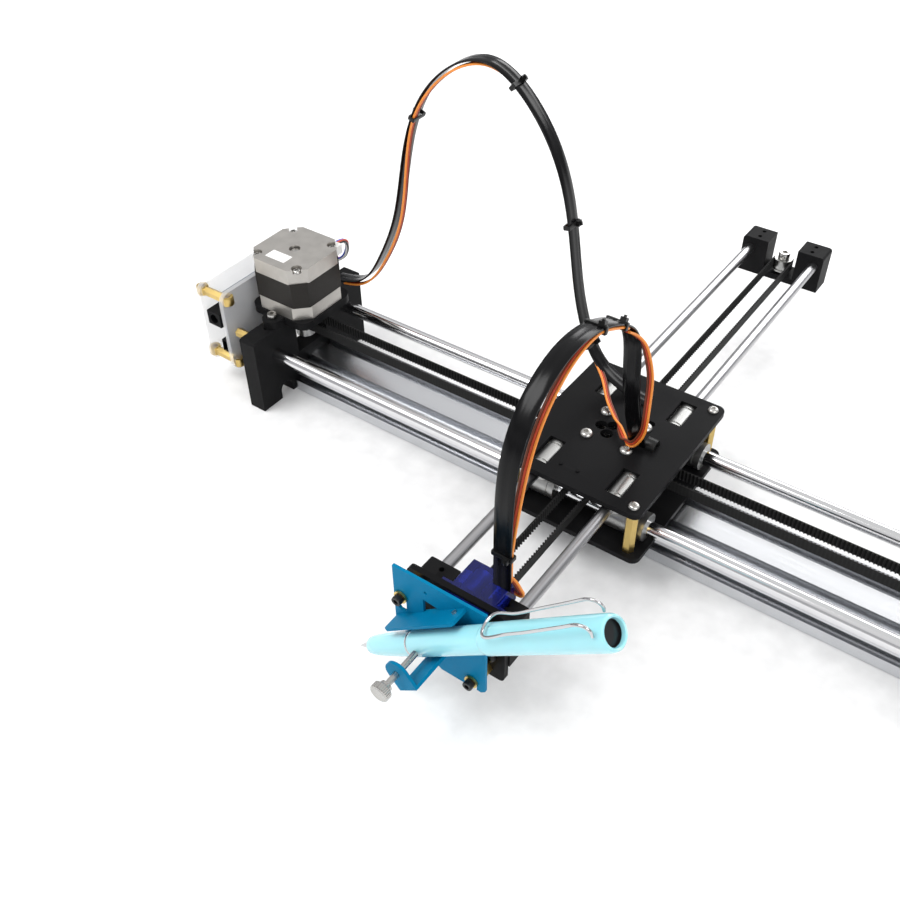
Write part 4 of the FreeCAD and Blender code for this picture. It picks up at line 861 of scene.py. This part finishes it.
def screw_metal(node, matrix, shape, usual):
    """The post on the carriage is black, the screws of the controller's plates are brass."""
    if node == "carriage_screws" and has_high_head(shape):
        return "black_screw"
    if node == "frame_screws" and matrix.translation.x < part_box("acrylic_inner")[1].x + 2 * MM:
        return "brass"
    return usual


def make_screws(node, mat, drive="hex"):
    """Turned screws in place of a node's plain ones: low heads are domed, high heads are straight."""
    build = Build()
    metals = []
    for points in solids_of(node):
        shape = screw_shape(points)
        matrix, length, head, shank, high = shape
        if high == 0:
            key, high = hexagonal(shank), shank
            rise = ((1.0, 0.0), (1.0, 0.9), (0.9, 1.0))
        elif has_high_head(shape):
            key = hexagonal(head * 0.95)
            rise = ((0.97, 0.0), (1.0, 0.08), (1.0, 0.85), (0.93, 1.0), (0.7, 1.0))
        else:
            key = hexagonal(head * 0.75) if drive == "hex" else cross_slot(head * 0.62)
            rise = ((0.96, 0.0), (1.0, 0.1), (0.98, 0.3), (0.9, 0.58), (0.78, 0.82), (0.66, 0.96))
        base = length - high
        profile = [(shank * 0.8, 0), (shank, shank * 0.2), (shank, base)]
        profile += [(head * wide, base + high * up) for wide, up in rise]
        profile += [(key, base + high), (key, base + high * 0.45), (shank * 0.1, base + high * 0.4)]
        first_face = len(build.faces)
        build.lathe(matrix, profile, steps=36)
        metals += [screw_metal(node, matrix, shape, mat)] * (len(build.faces) - first_face)
    piece = build.finish(f"{node}_turned", materials[mat], sharp=32)
    for other in sorted(set(metals) - {mat}):
        piece.data.materials.append(materials[other])
        for face, metal in zip(piece.data.polygons, metals):
            if metal == other:
                face.material_index = len(piece.data.materials) - 1
    return replace_node(piece, node)


def replace_node(piece, *names):
    """The piece joins the body of the first CAD node, and the CAD nodes are hidden."""
    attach(piece, body_of(names[0]))
    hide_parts(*names)
    return piece


# ---------------------------------------------------------------- motors, servo and small parts

def make_motor_labels():
    """A blank label on each motor's cap."""
    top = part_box("motor_caps")[1].z
    for name in ("left", "right"):
        centre = middle(f"pulley_{name}")
        build = Build()
        build.block((-9 * MM, -15.5 * MM, 0.0), (5.5 * MM, -8 * MM, 0.08 * MM),
                    Matrix.Translation((centre.x, centre.y, top)))
        label = build.finish(f"motor_label_{name}", materials["label"])
        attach(label, "frame")


def make_motor_lead():
    """The left motor's lead: a plug at each end, and four wires that spread towards the plugs."""
    start, end = Vector(MOTOR_LEAD[0]) * MM, Vector(MOTOR_LEAD[-1]) * MM
    plugs = Build()
    plugs.block(start + Vector((-6.8, -5.2, -3.1)) * MM, start + Vector((6.8, -0.1, 2.9)) * MM)
    plugs.block(end + Vector((-3.1, -5.5, -5)) * MM, end + Vector((2.9, 0, 5)) * MM)
    shell = plugs.finish("motor_plugs", materials["white"], bevel=0.3 * MM)
    replace_node(applied(shell), "motor_lead")
    path = smooth_path([Vector(p) * MM for p in MOTOR_LEAD], 2 * MM)
    spread = [0.4 + 1.2 * abs(i / (len(path) - 1) - 0.5) for i in range(len(path))]
    for index, colour in enumerate(("red", "wire_blue", "white", "pen_black")):
        angle = math.pi * (0.25 + index / 2)
        line = []
        for point, along, wide in zip(path, directions(path), spread):
            side = along.cross(Vector((0, 0, 1))).normalized()
            other = side.cross(along)
            offset = (math.cos(angle) * side + math.sin(angle) * other) * 0.75 * MM
            line.append(point + offset * (0.9 + 0.2 * wide))
        build = Build()
        build.tube(line, 0.6 * MM, sides=8)
        wire = build.finish(f"motor_wire_{colour}", materials[colour], sharp=60)
        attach(wire, "frame")


GEAR_TEETH = 22
# each gear's place along the servo, its radius and its depth from the servo's rear end, in mm
SERVO_GEARS = ((5.0, 3.6, 15.2), (10.5, 3.0, 16.8), (15.0, 4.3, 15.4), (15.0, 2.4, 18.6))


def gear_outline(radius):
    return lambda angle: (radius + 0.25 * math.cos(GEAR_TEETH * angle)) * MM


def make_servo_insides():
    """What shows through the servo's clear case: motor can, gear train and circuit board."""
    low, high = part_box("servo_case")
    centre_z = (low.z + high.z) / 2
    x = low.x + 5.5 * MM
    back = high.y - 1.5 * MM
    inside = Build()
    forward = Matrix.Rotation(math.pi / 2, 4, "X")
    can = Matrix.Translation((x + 6.5 * MM, back, centre_z)) @ forward
    inside.lathe(can, [(4.4 * MM, 0), (4.6 * MM, 0.3 * MM), (4.6 * MM, 13 * MM), (1.5 * MM, 13.4 * MM)], 28)
    motor = inside.finish("servo_motor", materials["bearing"])
    gears = Build()
    for gear_x, radius, depth in SERVO_GEARS:
        place = Matrix.Translation((x + gear_x * MM, back - depth * MM, centre_z)) @ forward
        outline = [(gear_outline(radius), level * MM) for level in (0.0, 1.3)]
        gears.lathe(place, outline, steps=GEAR_TEETH * 4)
    train = gears.finish("servo_gears", materials["white"], sharp=50)
    board = Build()
    board.block((x + 12.2 * MM, back - 11 * MM, low.z + 1.5 * MM),
                (x + 13.4 * MM, back - 1 * MM, high.z - 1.5 * MM))
    circuit = board.finish("servo_board", materials["board"])
    for piece in (motor, train, circuit):
        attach(piece, "arm")


def make_thumb_screw():
    """A knurled, slightly domed knob on a threaded shank."""
    low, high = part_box("thumb_screw")
    centre = middle("thumb_screw")
    radius = (high.x - low.x) / 2
    matrix = Matrix.Translation((centre.x, high.y, centre.z)) @ Matrix.Rotation(math.pi / 2, 4, "X")
    length = high.y - low.y
    knob_foot = length - 3.7 * MM
    collar_foot = knob_foot - 2 * MM

    def knurl(share):
        return lambda angle: radius * share * (0.955 + 0.045 * abs(math.cos(12 * angle)) ** 0.6)

    build = Build()
    profile = [(1.0 * MM, 0), (1.5 * MM, 0.4 * MM), (1.5 * MM, collar_foot), (2.9 * MM, collar_foot),
               (3.0 * MM, knob_foot), (knurl(0.93), knob_foot), (knurl(1.0), knob_foot + 0.3 * MM),
               (knurl(1.0), length - 0.6 * MM), (knurl(0.93), length - 0.25 * MM),
               (radius * 0.8, length - 0.1 * MM), (radius * 0.72, length - 0.35 * MM),
               (radius * 0.3, length - 0.35 * MM)]
    build.lathe(matrix, profile, steps=96)
    replace_node(build.finish("thumb_screw_turned", materials["screw"], sharp=35), "thumb_screw")


# ---------------------------------------------------------------- run

materials = make_materials()
make_camera()
dress_nodes()
make_arches()
make_belt()
for node_name in ("carriage_screws", "idler_bolts", "rear_idler_bolt", "frame_screws"):
    make_screws(node_name, "screw")
make_screws("motor_case_screws", "screw", "cross")
make_screws("head_screws", "black_screw")
make_motor_labels()
make_motor_lead()
make_servo_insides()
make_thumb_screw()
make_pen()
make_stage()
